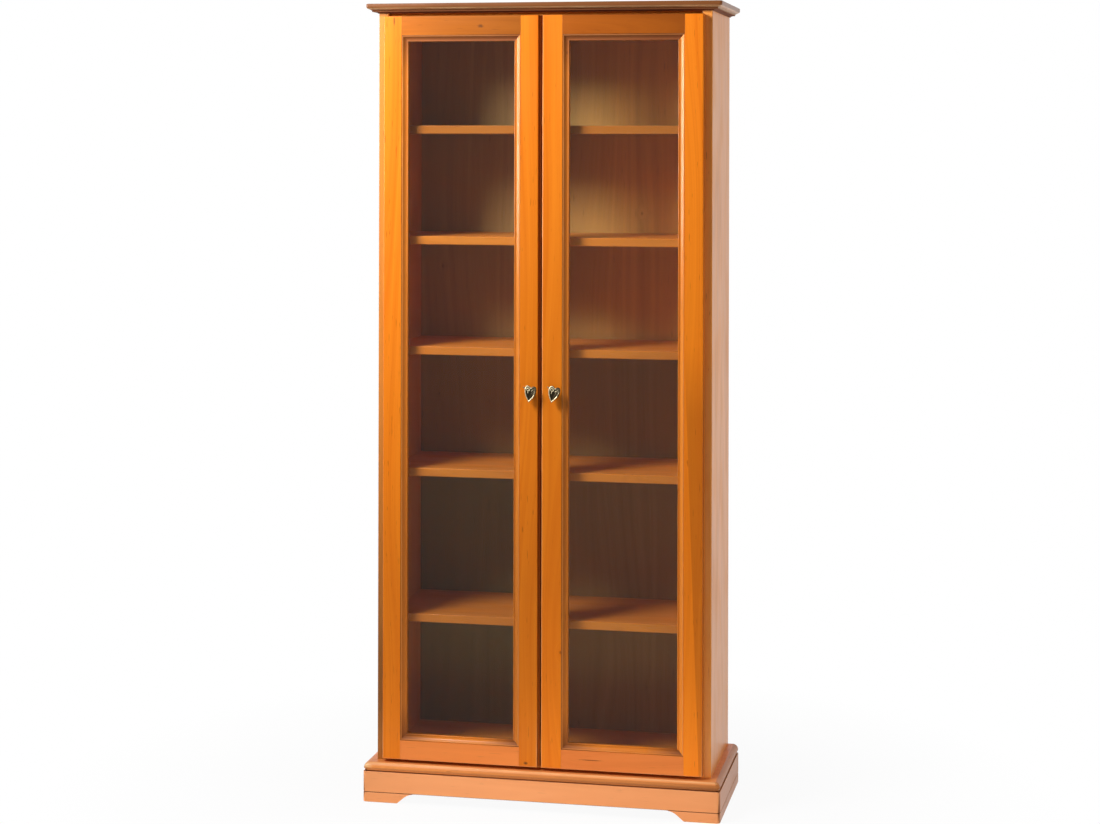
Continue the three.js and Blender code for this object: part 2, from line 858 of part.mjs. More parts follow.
function hingeCup(height) {
  const radius = hingeCupRadius - jointGap;
  const depth = hingeCupBoreDepth - jointGap;
  const inside = radius - hingeCupWall;
  const profile = [
    [0, 0],
    [radius, 0],
    [radius, depth + hingeFlangeThickness],
    [inside, depth + hingeFlangeThickness],
    [inside, hingeCupWall],
    [0, hingeCupWall],
  ].map(([r, h]) => new THREE.Vector2(r, h));
  const cup = new THREE.LatheGeometry(profile, cupSides);
  const bottom = doorThickness - depth;
  const placedCup = cup.translate(cupCentre(), bottom, height);
  const wing = new THREE.Shape();
  const halfWidth = hingeFlangeWidth / 2;
  const halfHeight = hingeFlangeHeight / 2;
  const corner = hingeFlangeCorner;
  wing.absarc(halfWidth - corner, halfHeight - corner, corner, 0, Math.PI / 2);
  wing.absarc(-halfWidth + corner, halfHeight - corner, corner, Math.PI / 2, Math.PI);
  wing.absarc(-halfWidth + corner, -halfHeight + corner, corner, Math.PI, 1.5 * Math.PI);
  wing.absarc(halfWidth - corner, -halfHeight + corner, corner, 1.5 * Math.PI, 2 * Math.PI);
  const plate = new THREE.ExtrudeGeometry(wing, {
    depth: hingeFlangeThickness,
    bevelEnabled: false,
    curveSegments: 3,
  });
  const flange = plate.rotateX(-Math.PI / 2).translate(cupCentre(), doorThickness, height);
  const mouth = roundBar('y', inside, doorThickness - cutOverrun, doorThickness + cutOverrun,
    cupCentre(), height, cupSides);
  return geometryOf(solid(flange).subtract(solid(mouth)).add(solid(placedCup)));
}

function hingeArm(height) {
  const wall = -innerHalf;
  const tip = doorThickness - hingeCupBoreDepth + jointGap + hingeCupWall + jointGap;
  const armLeft = wall + hingeArmOffset;
  const armRight = armLeft + hingeArmWidth;
  const armHalf = hingeArmHeight / 2;
  const footFront = carcassFront + hingeFootStart;
  const footBack = tip + hingeArmLength;
  const outline = new THREE.Shape([
    new THREE.Vector2(armLeft, tip + hingeTipTaper),
    new THREE.Vector2(armLeft + hingeTipTaper, tip),
    new THREE.Vector2(armRight, tip),
    new THREE.Vector2(armRight, footBack),
    new THREE.Vector2(wall + hingePlateThickness - jointOverlap, footBack),
    new THREE.Vector2(wall + hingePlateThickness - jointOverlap, footFront),
    new THREE.Vector2(armLeft, footFront - hingeFootThickness),
  ]);
  const arm = new THREE.ExtrudeGeometry(outline, { depth: hingeArmHeight, bevelEnabled: false });
  const armBody = solid(arm.translate(0, 0, height - armHalf));
  const plateMiddle = (footFront + footBack) / 2;
  const plate = block(
    [wall, plateMiddle - hingePlateWidth / 2, height - hingePlateHeight / 2],
    [wall + hingePlateThickness, plateMiddle + hingePlateWidth / 2, height + hingePlateHeight / 2],
  );
  let body = armBody.add(solid(plate));
  for (const side of [-1, 1]) {
    const head = roundBar('x', hingeScrewHeadRadius, wall + hingePlateThickness - jointOverlap,
      wall + hingePlateThickness + hingeScrewHeadHeight, plateMiddle,
      height + (side * hingeScrewSpacing) / 2, 12);
    body = body.add(solid(head));
  }
  return geometryOf(body);
}

// Catches and strike plates, drawn for the left side

function magneticCatch() {
  const middle = doorMeetingEdge - catchFromMeetingEdge;
  const front = carcassFront + catchMagnetReach;
  const housing = block(
    [middle - catchWidth / 2, front, ceiling - catchHeight],
    [middle + catchWidth / 2, front + catchDepth, ceiling],
  );
  const magnet = block(
    [middle - catchMagnetWidth / 2, carcassFront, ceiling - catchHeight + jointOverlap],
    [middle + catchMagnetWidth / 2, front + jointOverlap, ceiling - jointOverlap],
  );
  return geometryOf(solid(housing).add(solid(magnet)));
}

function strikePlate() {
  const middle = doorMeetingEdge - catchFromMeetingEdge;
  const height = ceiling - catchHeight / 2;
  return block(
    [middle - strikeWidth / 2, doorThickness, height - strikeHeight / 2],
    [middle + strikeWidth / 2, doorThickness + strikeThickness, height + strikeHeight / 2],
  );
}

// Knobs

// The heart from its tip up the right lobe to the dip, and down again mirrored.
function heartOutline() {
  const place = ([across, up]) => {
    return new THREE.Vector2(across * heartHalfWidth, up * (up < 0 ? heartTip : heartTop));
  };
  const right = [];
  let from = [0, -1];
  for (const [leave, arrive, to] of heartShares) {
    const curve = new THREE.CubicBezierCurve(place(from), place(leave), place(arrive), place(to));
    right.push(...curve.getPoints(5).slice(0, -1));
    from = to;
  }
  const left = right.slice(1).reverse().map((point) => new THREE.Vector2(-point.x, point.y));
  return new THREE.Shape([...right, place(from), ...left]);
}

function knob(across, turn) {
  const cast = new THREE.ExtrudeGeometry(heartOutline(), {
    depth: heartThickness - 2 * heartBevel,
    bevelEnabled: true,
    bevelThickness: heartBevel,
    bevelSize: heartBevel,
    bevelOffset: -heartBevel,
    bevelSegments: 2,
  });
  cast.translate(0, 0, heartBevel);
  const heart = cast.rotateX(Math.PI / 2).rotateY(turn);
  heart.translate(0, -knobReach + heartThickness, 0);
  const heartBack = knobReach - heartThickness;
  const stem = [
    [0, 0],
    [knobRoseRadius, 0],
    [knobRoseRadius, knobRoseThickness * roseEdgeShare],
    [knobRoseRadius * roseShoulderShare, knobRoseThickness],
    [knobNeckRadius, knobRoseThickness * neckStartShare],
    [knobNeckRadius, heartBack - heartBevel],
    [knobNeckRadius * neckFlareShare, heartBack + jointOverlap],
    [0, heartBack + jointOverlap],
  ].map(([radius, reach]) => new THREE.Vector2(radius, reach));
  const neck = new THREE.LatheGeometry(stem, 20).rotateX(Math.PI);
  const boreEnd = -knobScrewGrip - knobScrewTipPlay;
  const bore = roundBar('y', knobScrewRadius + jointGap, boreEnd, cutOverrun, 0, 0, 12);
  const body = solid(heart).add(solid(neck)).subtract(solid(bore));
  return geometryOf(body).translate(across, 0, knobHeight);
}

function knobScrew(across) {
  const profile = [
    [0, -knobScrewGrip],
    [knobScrewRadius, -knobScrewGrip],
    [knobScrewRadius, doorThickness],
    [knobScrewHeadRadius, doorThickness],
    [knobScrewHeadRadius, doorThickness + knobScrewHeadHeight * screwHeadEdgeShare],
    [knobScrewHeadRadius * screwHeadTopShare, doorThickness + knobScrewHeadHeight],
    [0, doorThickness + knobScrewHeadHeight],
  ].map(([radius, along]) => new THREE.Vector2(radius, along));
  return new THREE.LatheGeometry(profile, 12).translate(across, 0, knobHeight);
}

// Put the bookcase together

function addPair(name, geometry, material) {
  add(`left_${name}`, geometry, material);
  add(`right_${name}`, mirrored(geometry), material);
}

addPair('side_panel', sidePanel(), cherry);
add('top_panel', topPanel(), cherryDark);
const floorPanel = panelBetweenSides(carcassBottom, floorPanelThickness, carcassFront, sideArris);
add('floor_panel', floorPanel, cherry);
add('back_panel', backPanel(), backBoard);
add('cornice_board', corniceBoard(), cherryDark);
add('cornice_cove_front', coveFrontLength(), cherryDark);
add('cornice_cove_left', coveLeftLength(), cherryDark);
add('cornice_cove_right', mirrored(coveLeftLength()), cherryDark);
add('base_board', baseBoard(), cherry);
add('plinth_front', plinthFront(), cherryLight);
add('plinth_side_left', plinthSide(), cherryLight);
add('plinth_side_right', mirrored(plinthSide()), cherryLight);
add('plinth_back_rail', plinthBackRail(), cherryDark);

for (const index of shelfTopShares.keys()) {
  add(`shelf_${index + 1}`, shelf(index), cherry);
}
for (const index of adjustableShelves()) {
  addPair(`wire_of_shelf_${index + 1}`, shelfWire(index), steel);
}

addPair('door_hinge_stile', hingeStile(), cherryLight);
add('left_door_meeting_stile', meetingStile(leftKnobInset, meetingStepWidth), cherryLight);
add('right_door_meeting_stile', mirrored(meetingStile(rightKnobInset, 0)), cherryLight);
addPair('door_top_rail', rail(openingTop, doorTop, false), cherry);
addPair('door_bottom_rail', rail(doorBottom, openingBottom, true), cherry);
addPair('door_glass', glassPane(), glass);
addPair('door_glazing_bead', glazingBead(), cherry);
addPair('door_strike_plate', strikePlate(), steel);
addPair('catch', magneticCatch(), plastic);
for (const [index, height] of hingeHeights().entries()) {
  addPair(`door_hinge_cup_${index + 1}`, hingeCup(height), steel);
  addPair(`hinge_arm_${index + 1}`, hingeArm(height), steel);
}
add('left_door_knob', knob(doorMeetingEdge - leftKnobInset, leftKnobTurn), oldBrass);
add('right_door_knob', knob(-doorMeetingEdge + rightKnobInset, rightKnobTurn), oldBrass);
add('left_door_knob_screw', knobScrew(doorMeetingEdge - leftKnobInset), steel);
add('right_door_knob_screw', knobScrew(-doorMeetingEdge + rightKnobInset), steel);

export default bookcase;
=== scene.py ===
# %% [markdown]
# A tall bookcase with two glazed doors, of lacquered cherry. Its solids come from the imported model
# and stay where they are, because shapes modelled anew could drift from those that move. This
# lesson gives every board a finish with grain, models the small cast pieces in more detail, and
# stands the bookcase in a plain pale studio.

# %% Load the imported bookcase
import json
import math

import bmesh
import bpy
from mathutils import Matrix, Vector


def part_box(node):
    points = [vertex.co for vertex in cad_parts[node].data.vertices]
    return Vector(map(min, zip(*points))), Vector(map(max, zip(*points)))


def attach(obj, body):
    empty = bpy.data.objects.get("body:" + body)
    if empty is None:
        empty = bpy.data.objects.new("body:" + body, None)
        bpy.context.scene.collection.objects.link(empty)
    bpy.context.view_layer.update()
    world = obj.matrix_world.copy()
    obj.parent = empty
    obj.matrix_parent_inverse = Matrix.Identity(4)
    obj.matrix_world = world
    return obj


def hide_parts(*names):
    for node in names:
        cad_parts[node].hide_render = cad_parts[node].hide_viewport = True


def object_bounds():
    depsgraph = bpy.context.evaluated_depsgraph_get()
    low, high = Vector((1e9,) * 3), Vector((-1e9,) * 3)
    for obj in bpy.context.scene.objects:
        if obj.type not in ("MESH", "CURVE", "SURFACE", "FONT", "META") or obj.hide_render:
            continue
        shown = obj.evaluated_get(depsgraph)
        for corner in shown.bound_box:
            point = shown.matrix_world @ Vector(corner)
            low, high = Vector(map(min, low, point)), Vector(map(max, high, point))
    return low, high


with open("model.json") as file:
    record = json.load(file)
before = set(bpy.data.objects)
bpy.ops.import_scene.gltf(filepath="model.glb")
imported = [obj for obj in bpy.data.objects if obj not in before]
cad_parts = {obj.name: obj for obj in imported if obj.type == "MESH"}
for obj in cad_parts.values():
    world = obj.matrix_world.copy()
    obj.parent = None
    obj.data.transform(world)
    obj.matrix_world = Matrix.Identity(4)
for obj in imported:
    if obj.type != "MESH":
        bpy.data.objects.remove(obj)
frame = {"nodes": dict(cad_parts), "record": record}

cad_nodes = frame["nodes"]
cad_low, cad_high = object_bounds()

# %% [markdown]
# The camera stands right of the middle, 1.66 m up. Tilted down, it would make upright edges lean.
# So it looks level, and a lens shift moves its frame down, as a view camera does. The horizon then
# lies high in the picture, at a row that the slopes of the boards give.

# %% Camera at the photograph's viewing angle
PHOTO_WIDTH = 1100
PHOTO_HEIGHT = 824
FOCAL_LENGTH_PIXELS = 2261.3
HORIZON_ROW = 139.5
SENSOR_WIDTH = 36.0
CAMERA_PLACE = (1.153, -5.638, 1.660)
CAMERA_TURN = math.radians(11.676)
CAMERA_ROLL = math.radians(-0.129)


def add_object(name, data):
    made = bpy.data.objects.new(name, data)
    bpy.context.scene.collection.objects.link(made)
    return made


camera_data = bpy.data.cameras.new("camera")
camera_data.sensor_width = SENSOR_WIDTH
camera_data.lens = SENSOR_WIDTH * FOCAL_LENGTH_PIXELS / PHOTO_WIDTH
camera_data.shift_y = (HORIZON_ROW - PHOTO_HEIGHT / 2) / PHOTO_WIDTH
camera = add_object("camera", camera_data)
camera.location = CAMERA_PLACE
camera.rotation_euler = (math.radians(90), CAMERA_ROLL, CAMERA_TURN)
bpy.context.scene.camera = camera
bpy.context.scene.view_settings.view_transform = "Standard"
print("lens", round(camera_data.lens, 2), "shift", round(camera_data.shift_y, 4))

# %% [markdown]
# Materials are small graphs of nodes. They could be drawn by hand in the editor. Here one helper
# adds a node to the graph in work, sets its options, and links or sets its inputs, so that the
# graphs below read like formulas.

# %% Helpers for material graphs
graph = None


def open_graph(tree):
    global graph
    graph = tree
    graph.nodes.clear()


def add_node(kind, inputs=None, **options):
    made = graph.nodes.new("ShaderNode" + kind)
    for option, value in options.items():
        setattr(made, option, value)
    for socket, value in (inputs or {}).items():
        if isinstance(value, bpy.types.NodeSocket):
            graph.links.new(value, made.inputs[socket])
        else:
            made.inputs[socket].default_value = value
    return made


def calculate(operation, first, second=0.0, third=0.0):
    return add_node("Math", {0: first, 1: second, 2: third}, operation=operation).outputs[0]


def times(first, second, plus=0.0):
    return calculate("MULTIPLY_ADD", first, second, plus)


def spread(value, low, high, to_low=0.0, to_high=1.0):
    return add_node("MapRange", {0: value, 1: low, 2: high, 3: to_low, 4: to_high}).outputs[0]


def blend_colours(factor, first, second):
    first, second = [(*end, 1.0) if isinstance(end, tuple) else end for end in (first, second)]
    colours = {"Factor": factor, 6: first, 7: second}
    return add_node("Mix", colours, data_type="RGBA").outputs[2]


def noise(place, scale, detail):
    sizes = {"Vector": place, "Scale": scale, "Detail": detail}
    return add_node("TexNoise", sizes).outputs[0]


def attribute(name, output="Fac"):
    return add_node("Attribute", attribute_name=name).outputs[output]


def object_place():
    return add_node("TexCoord").outputs["Object"]


def flat_place(across, up):
    return add_node("CombineXYZ", {0: across, 1: up}).outputs[0]


def three_numbers(vector):
    return add_node("SeparateXYZ", {0: vector}).outputs


def length_of(vector):
    return add_node("VectorMath", {0: vector}, operation="LENGTH").outputs["Value"]


print("number and colour helpers ready")

# %% [markdown]
# The other helpers end a graph: a bump from a height, a surface from its colour, roughness and
# bump, a mixture of two, and the link to the output.

# %% Helpers for surfaces
def new_material(name):
    material = bpy.data.materials.new(name)
    material.use_nodes = True
    open_graph(material.node_tree)
    return material


def show(shader):
    add_node("OutputMaterial", {"Surface": shader.outputs[0]})


def mix_shaders(factor, first, second):
    return add_node("MixShader", {0: factor, 1: first.outputs[0], 2: second.outputs[0]})


def bumps(height, strength, distance):
    relief = {"Height": height, "Strength": strength, "Distance": distance}
    return add_node("Bump", relief).outputs[0]


def show_surface(colour, roughness, bump, others):
    inputs = {"Base Color": colour, "Roughness": roughness, "Normal": bump, **others}
    show(add_node("BsdfPrincipled", inputs))


print("surface helpers ready")

# %% [markdown]
# The studio is white all round, with no horizon. Strong light from everywhere would wash out the
# colours of the wood. So the surround lights the bookcase only softly, and what the camera, the
# lacquer and the glass see of it is plain white.

# %% White surround
AMBIENT_LEVEL = 0.075


def directly_seen():
    ray = add_node("LightPath").outputs
    seen = calculate("MAXIMUM", ray["Is Camera Ray"], ray["Is Glossy Ray"])
    return calculate("MAXIMUM", seen, ray["Is Transmission Ray"])


surround = bpy.data.worlds.new("studio_surround")
surround.use_nodes = True
open_graph(surround.node_tree)
strength = spread(directly_seen(), 0.0, 1.0, AMBIENT_LEVEL, 1.0)
backdrop = add_node("Background", {"Color": (1, 1, 1, 1), "Strength": strength})
add_node("OutputWorld", {"Surface": backdrop.outputs[0]})
bpy.context.scene.world = surround
print("surround level", AMBIENT_LEVEL)

# %% [markdown]
# The floor is white paper. Matt paper alone would turn grey and show its far edge. So for the
# camera it is nearly all plain white, and a small share of matt near the bookcase keeps the soft
# shadow there.

# %% Pale floor
FLOOR_HALF = 30.0
PAPER_FADE = (0.5, 1.3)
PAPER_WHITE_NEAR = 0.94


def to_object(work, name, material):
    mesh = bpy.data.meshes.new(name)
    work.to_mesh(mesh)
    work.free()
    if "custom_normal" in mesh.attributes:
        mesh.attributes.remove(mesh.attributes["custom_normal"])
    mesh.materials.append(material)
    return add_object(name, mesh)


paper = new_material("floor_paper")
fade = spread(length_of(object_place()), *PAPER_FADE, PAPER_WHITE_NEAR, 1.0)
fade = times(fade, directly_seen())
matt = add_node("BsdfDiffuse", {"Color": (0.80, 0.80, 0.80, 1)})
glow = add_node("Emission", {"Color": (1, 1, 1, 1), "Strength": 1.0})
show(mix_shaders(fade, matt, glow))

sheet = bmesh.new()
bmesh.ops.create_grid(sheet, x_segments=1, y_segments=1, size=FLOOR_HALF)
to_object(sheet, "floor", paper)
print("floor", 2 * FLOOR_HALF, "m wide")

# %% [markdown]
# The photograph's shadows say where its lamp stood: the left stile's shadow on the shelf edges
# gives about 40 degrees from the left. The doors are twice as bright at the top as at the foot. A
# sun would light them evenly, so this lamp is a near softbox above the cornice. A weak wide one on
# the right opens the shadows. Its reflection would grey the mouldings, so it has none.

# %% Softboxes
def softbox(name, place, target, sides, watts):
    lamp = bpy.data.lights.new(name, "AREA")
    lamp.shape = "RECTANGLE"
    lamp.size, lamp.size_y = sides
    lamp.energy = watts
    box = add_object(name, lamp)
    box.location = place
    box.rotation_euler = (Vector(target) - Vector(place)).to_track_quat("-Z", "Y").to_euler()
    print(name, watts, "W at", place)
    return box


softbox("key_softbox", (-1.05, -1.45, 2.6), (0.0, -0.17, 1.7), (0.8, 0.8), 57.0)
fill_softbox = softbox("fill_softbox", (3.0, -0.3, 1.5), (0.4, 0.0, 1.0), (2.0, 2.0), 36.0)
fill_softbox.visible_glossy = False

# %% [markdown]
# Three more lamps do small jobs. A tall one on the left is there for its reflection alone, in
# mouldings and castings that face left, so it is kept from matt surfaces. A narrow one rakes along
# the doors, almost in their plane, and lights those same mouldings. A low one stands for the white
# floor in front, which lights the base. The panes would mirror it, so it has no reflection.

# %% Strip lamps
left_strip = softbox("left_strip", (-2.0, -0.78, 1.9), (-0.05, -0.16, 1.7), (1.1, 1.2), 95.0)
left_strip.visible_diffuse = False
softbox("raking_strip", (-2.0, -0.40, 1.95), (-0.05, -0.16, 1.75), (0.25, 0.8), 9.0)
low_strip = softbox("low_strip", (0.05, -0.50, 0.07), (0.05, -0.17, 0.04), (1.1, 0.09), 0.62)
low_strip.visible_glossy = False
low_strip.visible_transmission = False

# %% [markdown]
# Cherry is close-grained. Its figure is broad soft streaks that run with the board and part round
# small features, with fine fibre lines over them. An image of it would repeat from board to board.
# Here every board carries an attribute called grain, how far a point lies across the board,
# through it and along it, so that one graph gives each its own figure. The streaks are noise along
# one number only, the growth ring, and a slow swelling bends it.

# %% Figure of the wood
RINGS_ACROSS = 52.0
RING_SWELL = 8.0
SWELL_ACROSS = 7.0
SWELL_ALONG = 0.9
FIBRES_ACROSS = 820.0
FIBRES_ALONG = 9.0
STREAK_LENGTHENING = 0.4
STREAK_RANGE = (0.32, 0.68)
HALO_BEND = 1.5


def stretched_noise(grain, across, along, detail):
    scaled = add_node("Mapping", {"Vector": grain, "Scale": (across, across, along)})
    return noise(scaled.outputs[0], 1.0, detail)


def streaks(ring, along, narrow):
    wide = flat_place(times(ring, narrow), times(along, narrow * STREAK_LENGTHENING))
    return spread(noise(wide, 1.0, 2.0), *STREAK_RANGE)


def growth_rings(grain, across, halo):
    swelling = stretched_noise(grain, SWELL_ACROSS, SWELL_ALONG, 1.0)
    ring = times(across, RINGS_ACROSS)
    ring = times(swelling, RING_SWELL, ring)
    return times(halo, HALO_BEND, ring)


print("rings in a metre of board:", RINGS_ACROSS)

# %% [markdown]
# Two marks make the figure believable. Gum flecks are short dark dashes with the grain. A pin
# knot is a dark dot a few millimetres wide that the streaks flow round, and a board has one or
# none. Cells scatter the knots: each cell has one point, and the graph measures how far it is.

# %% Flecks and pin knots
FLECKS_ACROSS = 330.0
FLECKS_ALONG = 26.0
FLECK_RANGE = (0.70, 0.78)
KNOTS_ACROSS = 5.0
KNOTS_ALONG = 1.3
KNOT_RADIUS = 0.0032
KNOT_SLIMNESS = 0.6
KNOT_HEART = 0.4
HALO_RADII = 5


def gum_flecks(grain):
    return spread(stretched_noise(grain, FLECKS_ACROSS, FLECKS_ALONG, 1.0), *FLECK_RANGE)


def pin_knots(across, along):
    spot = flat_place(times(across, KNOTS_ACROSS), times(along, KNOTS_ALONG))
    cells = add_node("TexVoronoi", {"Vector": spot, "Scale": 1.0}, voronoi_dimensions="2D")
    offset = add_node("VectorMath", {0: spot, 1: cells.outputs["Position"]},
                      operation="SUBTRACT").outputs[0]
    cell = (1 / KNOTS_ACROSS, KNOT_SLIMNESS / KNOTS_ALONG, 1.0)
    away = length_of(add_node("Mapping", {"Vector": offset, "Scale": cell}).outputs[0])
    core = spread(away, KNOT_RADIUS * KNOT_HEART, KNOT_RADIUS, 1.0, 0.0)
    halo = spread(away, 0.0, KNOT_RADIUS * HALO_RADII, 1.0, 0.0)
    return core, halo


print("one knot to", round(1 / (KNOTS_ACROSS * KNOTS_ALONG), 2), "square metres")

# %% [markdown]
# The finish of old furniture isn't even. Masks could be painted on an image, but four attributes of
# each mesh follow its shape. Stain is dark stain left in hollows, and with it painted shade in the
# grooves, under the cornice, on the doors' edges and on the shaded sides of the mouldings. Eased
# marks the sanded edges and rubbed the beads and lit edges, where a painted highlight pales the
# wood. Tone sets each board lighter or darker than its neighbour, as boards from different planks
# are, and on some boards it is painted light and shade that fades over the board.

# %% Stain, painted shade and painted highlights
# Dark stain in hollows and painted shade in grooves and under things share this colour.
HOLLOW_STAIN_AND_SHADE = (0.110, 0.026, 0.010)
STAIN_AND_SHADE_COVER = 0.8
# Eased edges and rubbed places get a painted highlight, a pale colour mixed into the wood.
EDGE_HIGHLIGHT = 0.38
HIGHLIGHT_COLOUR = (1.0, 0.70, 0.36)
HIGHLIGHT_SHARE = 0.6
PATCHES_ACROSS = 90.0
PATCHES_ALONG = 12.0


def worn_and_stained(colour, pale, grain):
    brightness = {"Color": colour, "Value": attribute("tone")}
    colour = add_node("HueSaturation", brightness).outputs[0]
    patches = stretched_noise(grain, PATCHES_ACROSS, PATCHES_ALONG, 2.0)
    patchy = spread(patches, 0.3, 0.65, 0.4, 1.0)
    eased = times(attribute("eased"), EDGE_HIGHLIGHT)
    # Painted highlight on eased edges and on rubbed places, made patchy.
    painted_highlight = times(calculate("MAXIMUM", eased, attribute("painted_highlight")), patchy)
    highlight = tuple(part + (clean - part) * HIGHLIGHT_SHARE for part, clean in zip(pale, HIGHLIGHT_COLOUR))
    colour = blend_colours(painted_highlight, colour, highlight)
    # Stain and painted shade darken the colour here.
    return blend_colours(times(attribute("stain_and_shade"), STAIN_AND_SHADE_COVER), colour, HOLLOW_STAIN_AND_SHADE)


print("bare wood is", HIGHLIGHT_COLOUR)

# %% [markdown]
# The lacquer over it is satin. A single roughness would look like plastic, so it follows the
# fibres and a few dull smudges, and dark stain and painted shade dull it. A low bump from the same
# fibres breaks up the shine along the grain.

# %% Lacquered cherry
WIDE_STREAKS = 0.50
FINE_STREAKS = 0.24
FIBRE_LINES = 0.26
FINE_STREAK_NARROWING = 4.5
HALO_DEPTH = 0.35
KNOT_DEPTH = 0.7
MARK_SHADE = 0.4
MARK_SINKS = -0.6
STAIN_DULLS = 0.4
SMUDGE_DULLS = 0.08
SMUDGES_ACROSS = 14.0
SMUDGES_ALONG = 5.0


def cherry(name, pale, deep, gloss=0.3, level=0.12, fleck=0.5, feature=None):
    material = new_material(name)
    grain = attribute("grain", "Vector")
    across, _, along = three_numbers(grain)
    core, halo = pin_knots(across, along)
    ring = growth_rings(grain, across, halo)
    fibres = stretched_noise(grain, FIBRES_ACROSS, FIBRES_ALONG, 2.0)
    fine = streaks(ring, along, FINE_STREAK_NARROWING)
    figure = times(streaks(ring, along, 1.0), WIDE_STREAKS)
    figure = times(fine, FINE_STREAKS, figure)
    figure = times(fibres, FIBRE_LINES, figure)
    colour = blend_colours(figure, pale, deep)
    colour = blend_colours(times(halo, HALO_DEPTH), colour, deep)
    marks = times(gum_flecks(grain), fleck)
    marks = calculate("MAXIMUM", marks, times(core, KNOT_DEPTH))
    colour = blend_colours(marks, colour, tuple(part * MARK_SHADE for part in deep))
    colour = worn_and_stained(colour, pale, grain)
    if feature:
        colour = feature(colour)
    smudges = stretched_noise(grain, SMUDGES_ACROSS, SMUDGES_ALONG, 2.0)
    roughness = spread(fibres, 0.2, 0.8, gloss - 0.03, gloss + 0.04)
    roughness = calculate("ADD", roughness, spread(smudges, 0.45, 0.7, 0.0, SMUDGE_DULLS))
    roughness = times(attribute("stain_and_shade"), STAIN_DULLS, roughness)
    bump = bumps(times(marks, MARK_SINKS, fibres), 0.14, 0.0002)
    show_surface(colour, roughness, bump, {"Specular IOR Level": level})
    return material


print("cherry recipe ready")

# %% [markdown]
# Four small marks are where these boards happen to have them: gum streaks and dead pin knots. No
# noise would put them there, so each is a soft dark ellipse at its own place on a door.

# %% Marks on the doors
# Each mark has its middle (x, z), its half sizes and its depth of colour.
MARKS = (((-0.377, 1.956), (0.0020, 0.0130), 0.8),
         ((-0.155, 1.942), (0.0080, 0.0048), 0.75),
         ((-0.036, 0.1155), (0.0058, 0.0036), 0.85),
         ((0.127, 0.132), (0.0300, 0.0013), 0.8))
MARK_COLOUR = (0.11, 0.035, 0.008)
MARK_EDGE = (0.9, 1.6)
MARK_WOBBLE = 0.9
FRONT_ONLY = -0.150


def marks_of_doors(colour):
    x, y, z = three_numbers(object_place())
    wobble = noise(object_place(), 240.0, 2.0)
    on_front = calculate("LESS_THAN", y, FRONT_ONLY)
    for (middle_x, middle_z), (half_x, half_z), strength in MARKS:
        across = calculate("DIVIDE", calculate("SUBTRACT", x, middle_x), half_x)
        up = calculate("DIVIDE", calculate("SUBTRACT", z, middle_z), half_z)
        away = times(wobble, MARK_WOBBLE, length_of(flat_place(across, up)))
        mask = times(spread(away, *MARK_EDGE, strength, 0.0), on_front)
        colour = blend_colours(mask, colour, MARK_COLOUR)
    return colour


print("marks:", len(MARKS))

# %% [markdown]
# A darker tongue runs down the outer side of the right door's hinge stile, from above the knobs to
# the foot, with a slanting edge. A second board there would end too sharply, so it is a soft mask
# on the object's own coordinates.

# %% Darker zone on one stile
DARK_ZONE_EDGE = (0.364, 0.943)
DARK_ZONE_SLANT = 0.0363
DARK_ZONE_SOFTNESS = 0.003
DARK_ZONE_TOP = (0.98, 1.16)
DARK_ZONE_DEPTH = 0.30
DARK_ZONE_COLOUR = (0.10, 0.02, 0.004)


def stile_flame(colour):
    x, _, z = three_numbers(object_place())
    edge_x, edge_z = DARK_ZONE_EDGE
    lean = times(z, DARK_ZONE_SLANT, -edge_x - edge_z * DARK_ZONE_SLANT)
    beyond = spread(calculate("ADD", x, lean), 0.0, DARK_ZONE_SOFTNESS)
    below = spread(z, *DARK_ZONE_TOP, 1.0, 0.0)
    mask = times(times(beyond, below), DARK_ZONE_DEPTH)
    return marks_of_doors(blend_colours(mask, colour, DARK_ZONE_COLOUR))


print("flame from", DARK_ZONE_TOP[1], "m down")

# %% [markdown]
# The back gets painted light and shade. Above the fixed shelf, the right part is painted warm and
# light and the left one lighter and olive, and behind the lowest left shelves painted shade makes it
# browner. A real back is one board, so its hue changes instead of its pieces.

# %% Painted light and shade on the back
# Edges give where a patch begins and where it is full; a patch is a factor for each colour.
RIGHT_PATCH_EDGE = (-0.06, 0.15)
LEFT_PATCH_EDGE = (-0.14, 0.0)
UPPER_PATCH_EDGE = (1.10, 1.16)
LOWER_PATCH_EDGE = (0.81, 0.84)
RIGHT_PAINTED_LIGHT = (2.0, 1.8, 1.35)
LEFT_PAINTED_LIGHT = (1.25, 1.3, 1.4)
LOW_LEFT_PAINTED_SHADE = (0.70, 0.88, 1.0)


def veneer_sheets(colour):
    x, _, z = three_numbers(object_place())
    right = spread(x, *RIGHT_PATCH_EDGE)
    left = spread(x, *LEFT_PATCH_EDGE, 1.0, 0.0)
    upper = spread(z, *UPPER_PATCH_EDGE)
    low = spread(z, *LOWER_PATCH_EDGE, 1.0, 0.0)
    for side, level, factor in ((right, upper, RIGHT_PAINTED_LIGHT), (left, upper, LEFT_PAINTED_LIGHT),
                                (left, low, LOW_LEFT_PAINTED_SHADE)):
        # Each patch multiplies the colour: painted light above, painted shade low on the left.
        sheet = add_node("VectorMath", {0: colour, 1: factor}, operation="MULTIPLY").outputs[0]
        colour = blend_colours(times(side, level), colour, sheet)
    return colour


print("joints of the veneer at", RIGHT_PATCH_EDGE, LEFT_PATCH_EDGE)
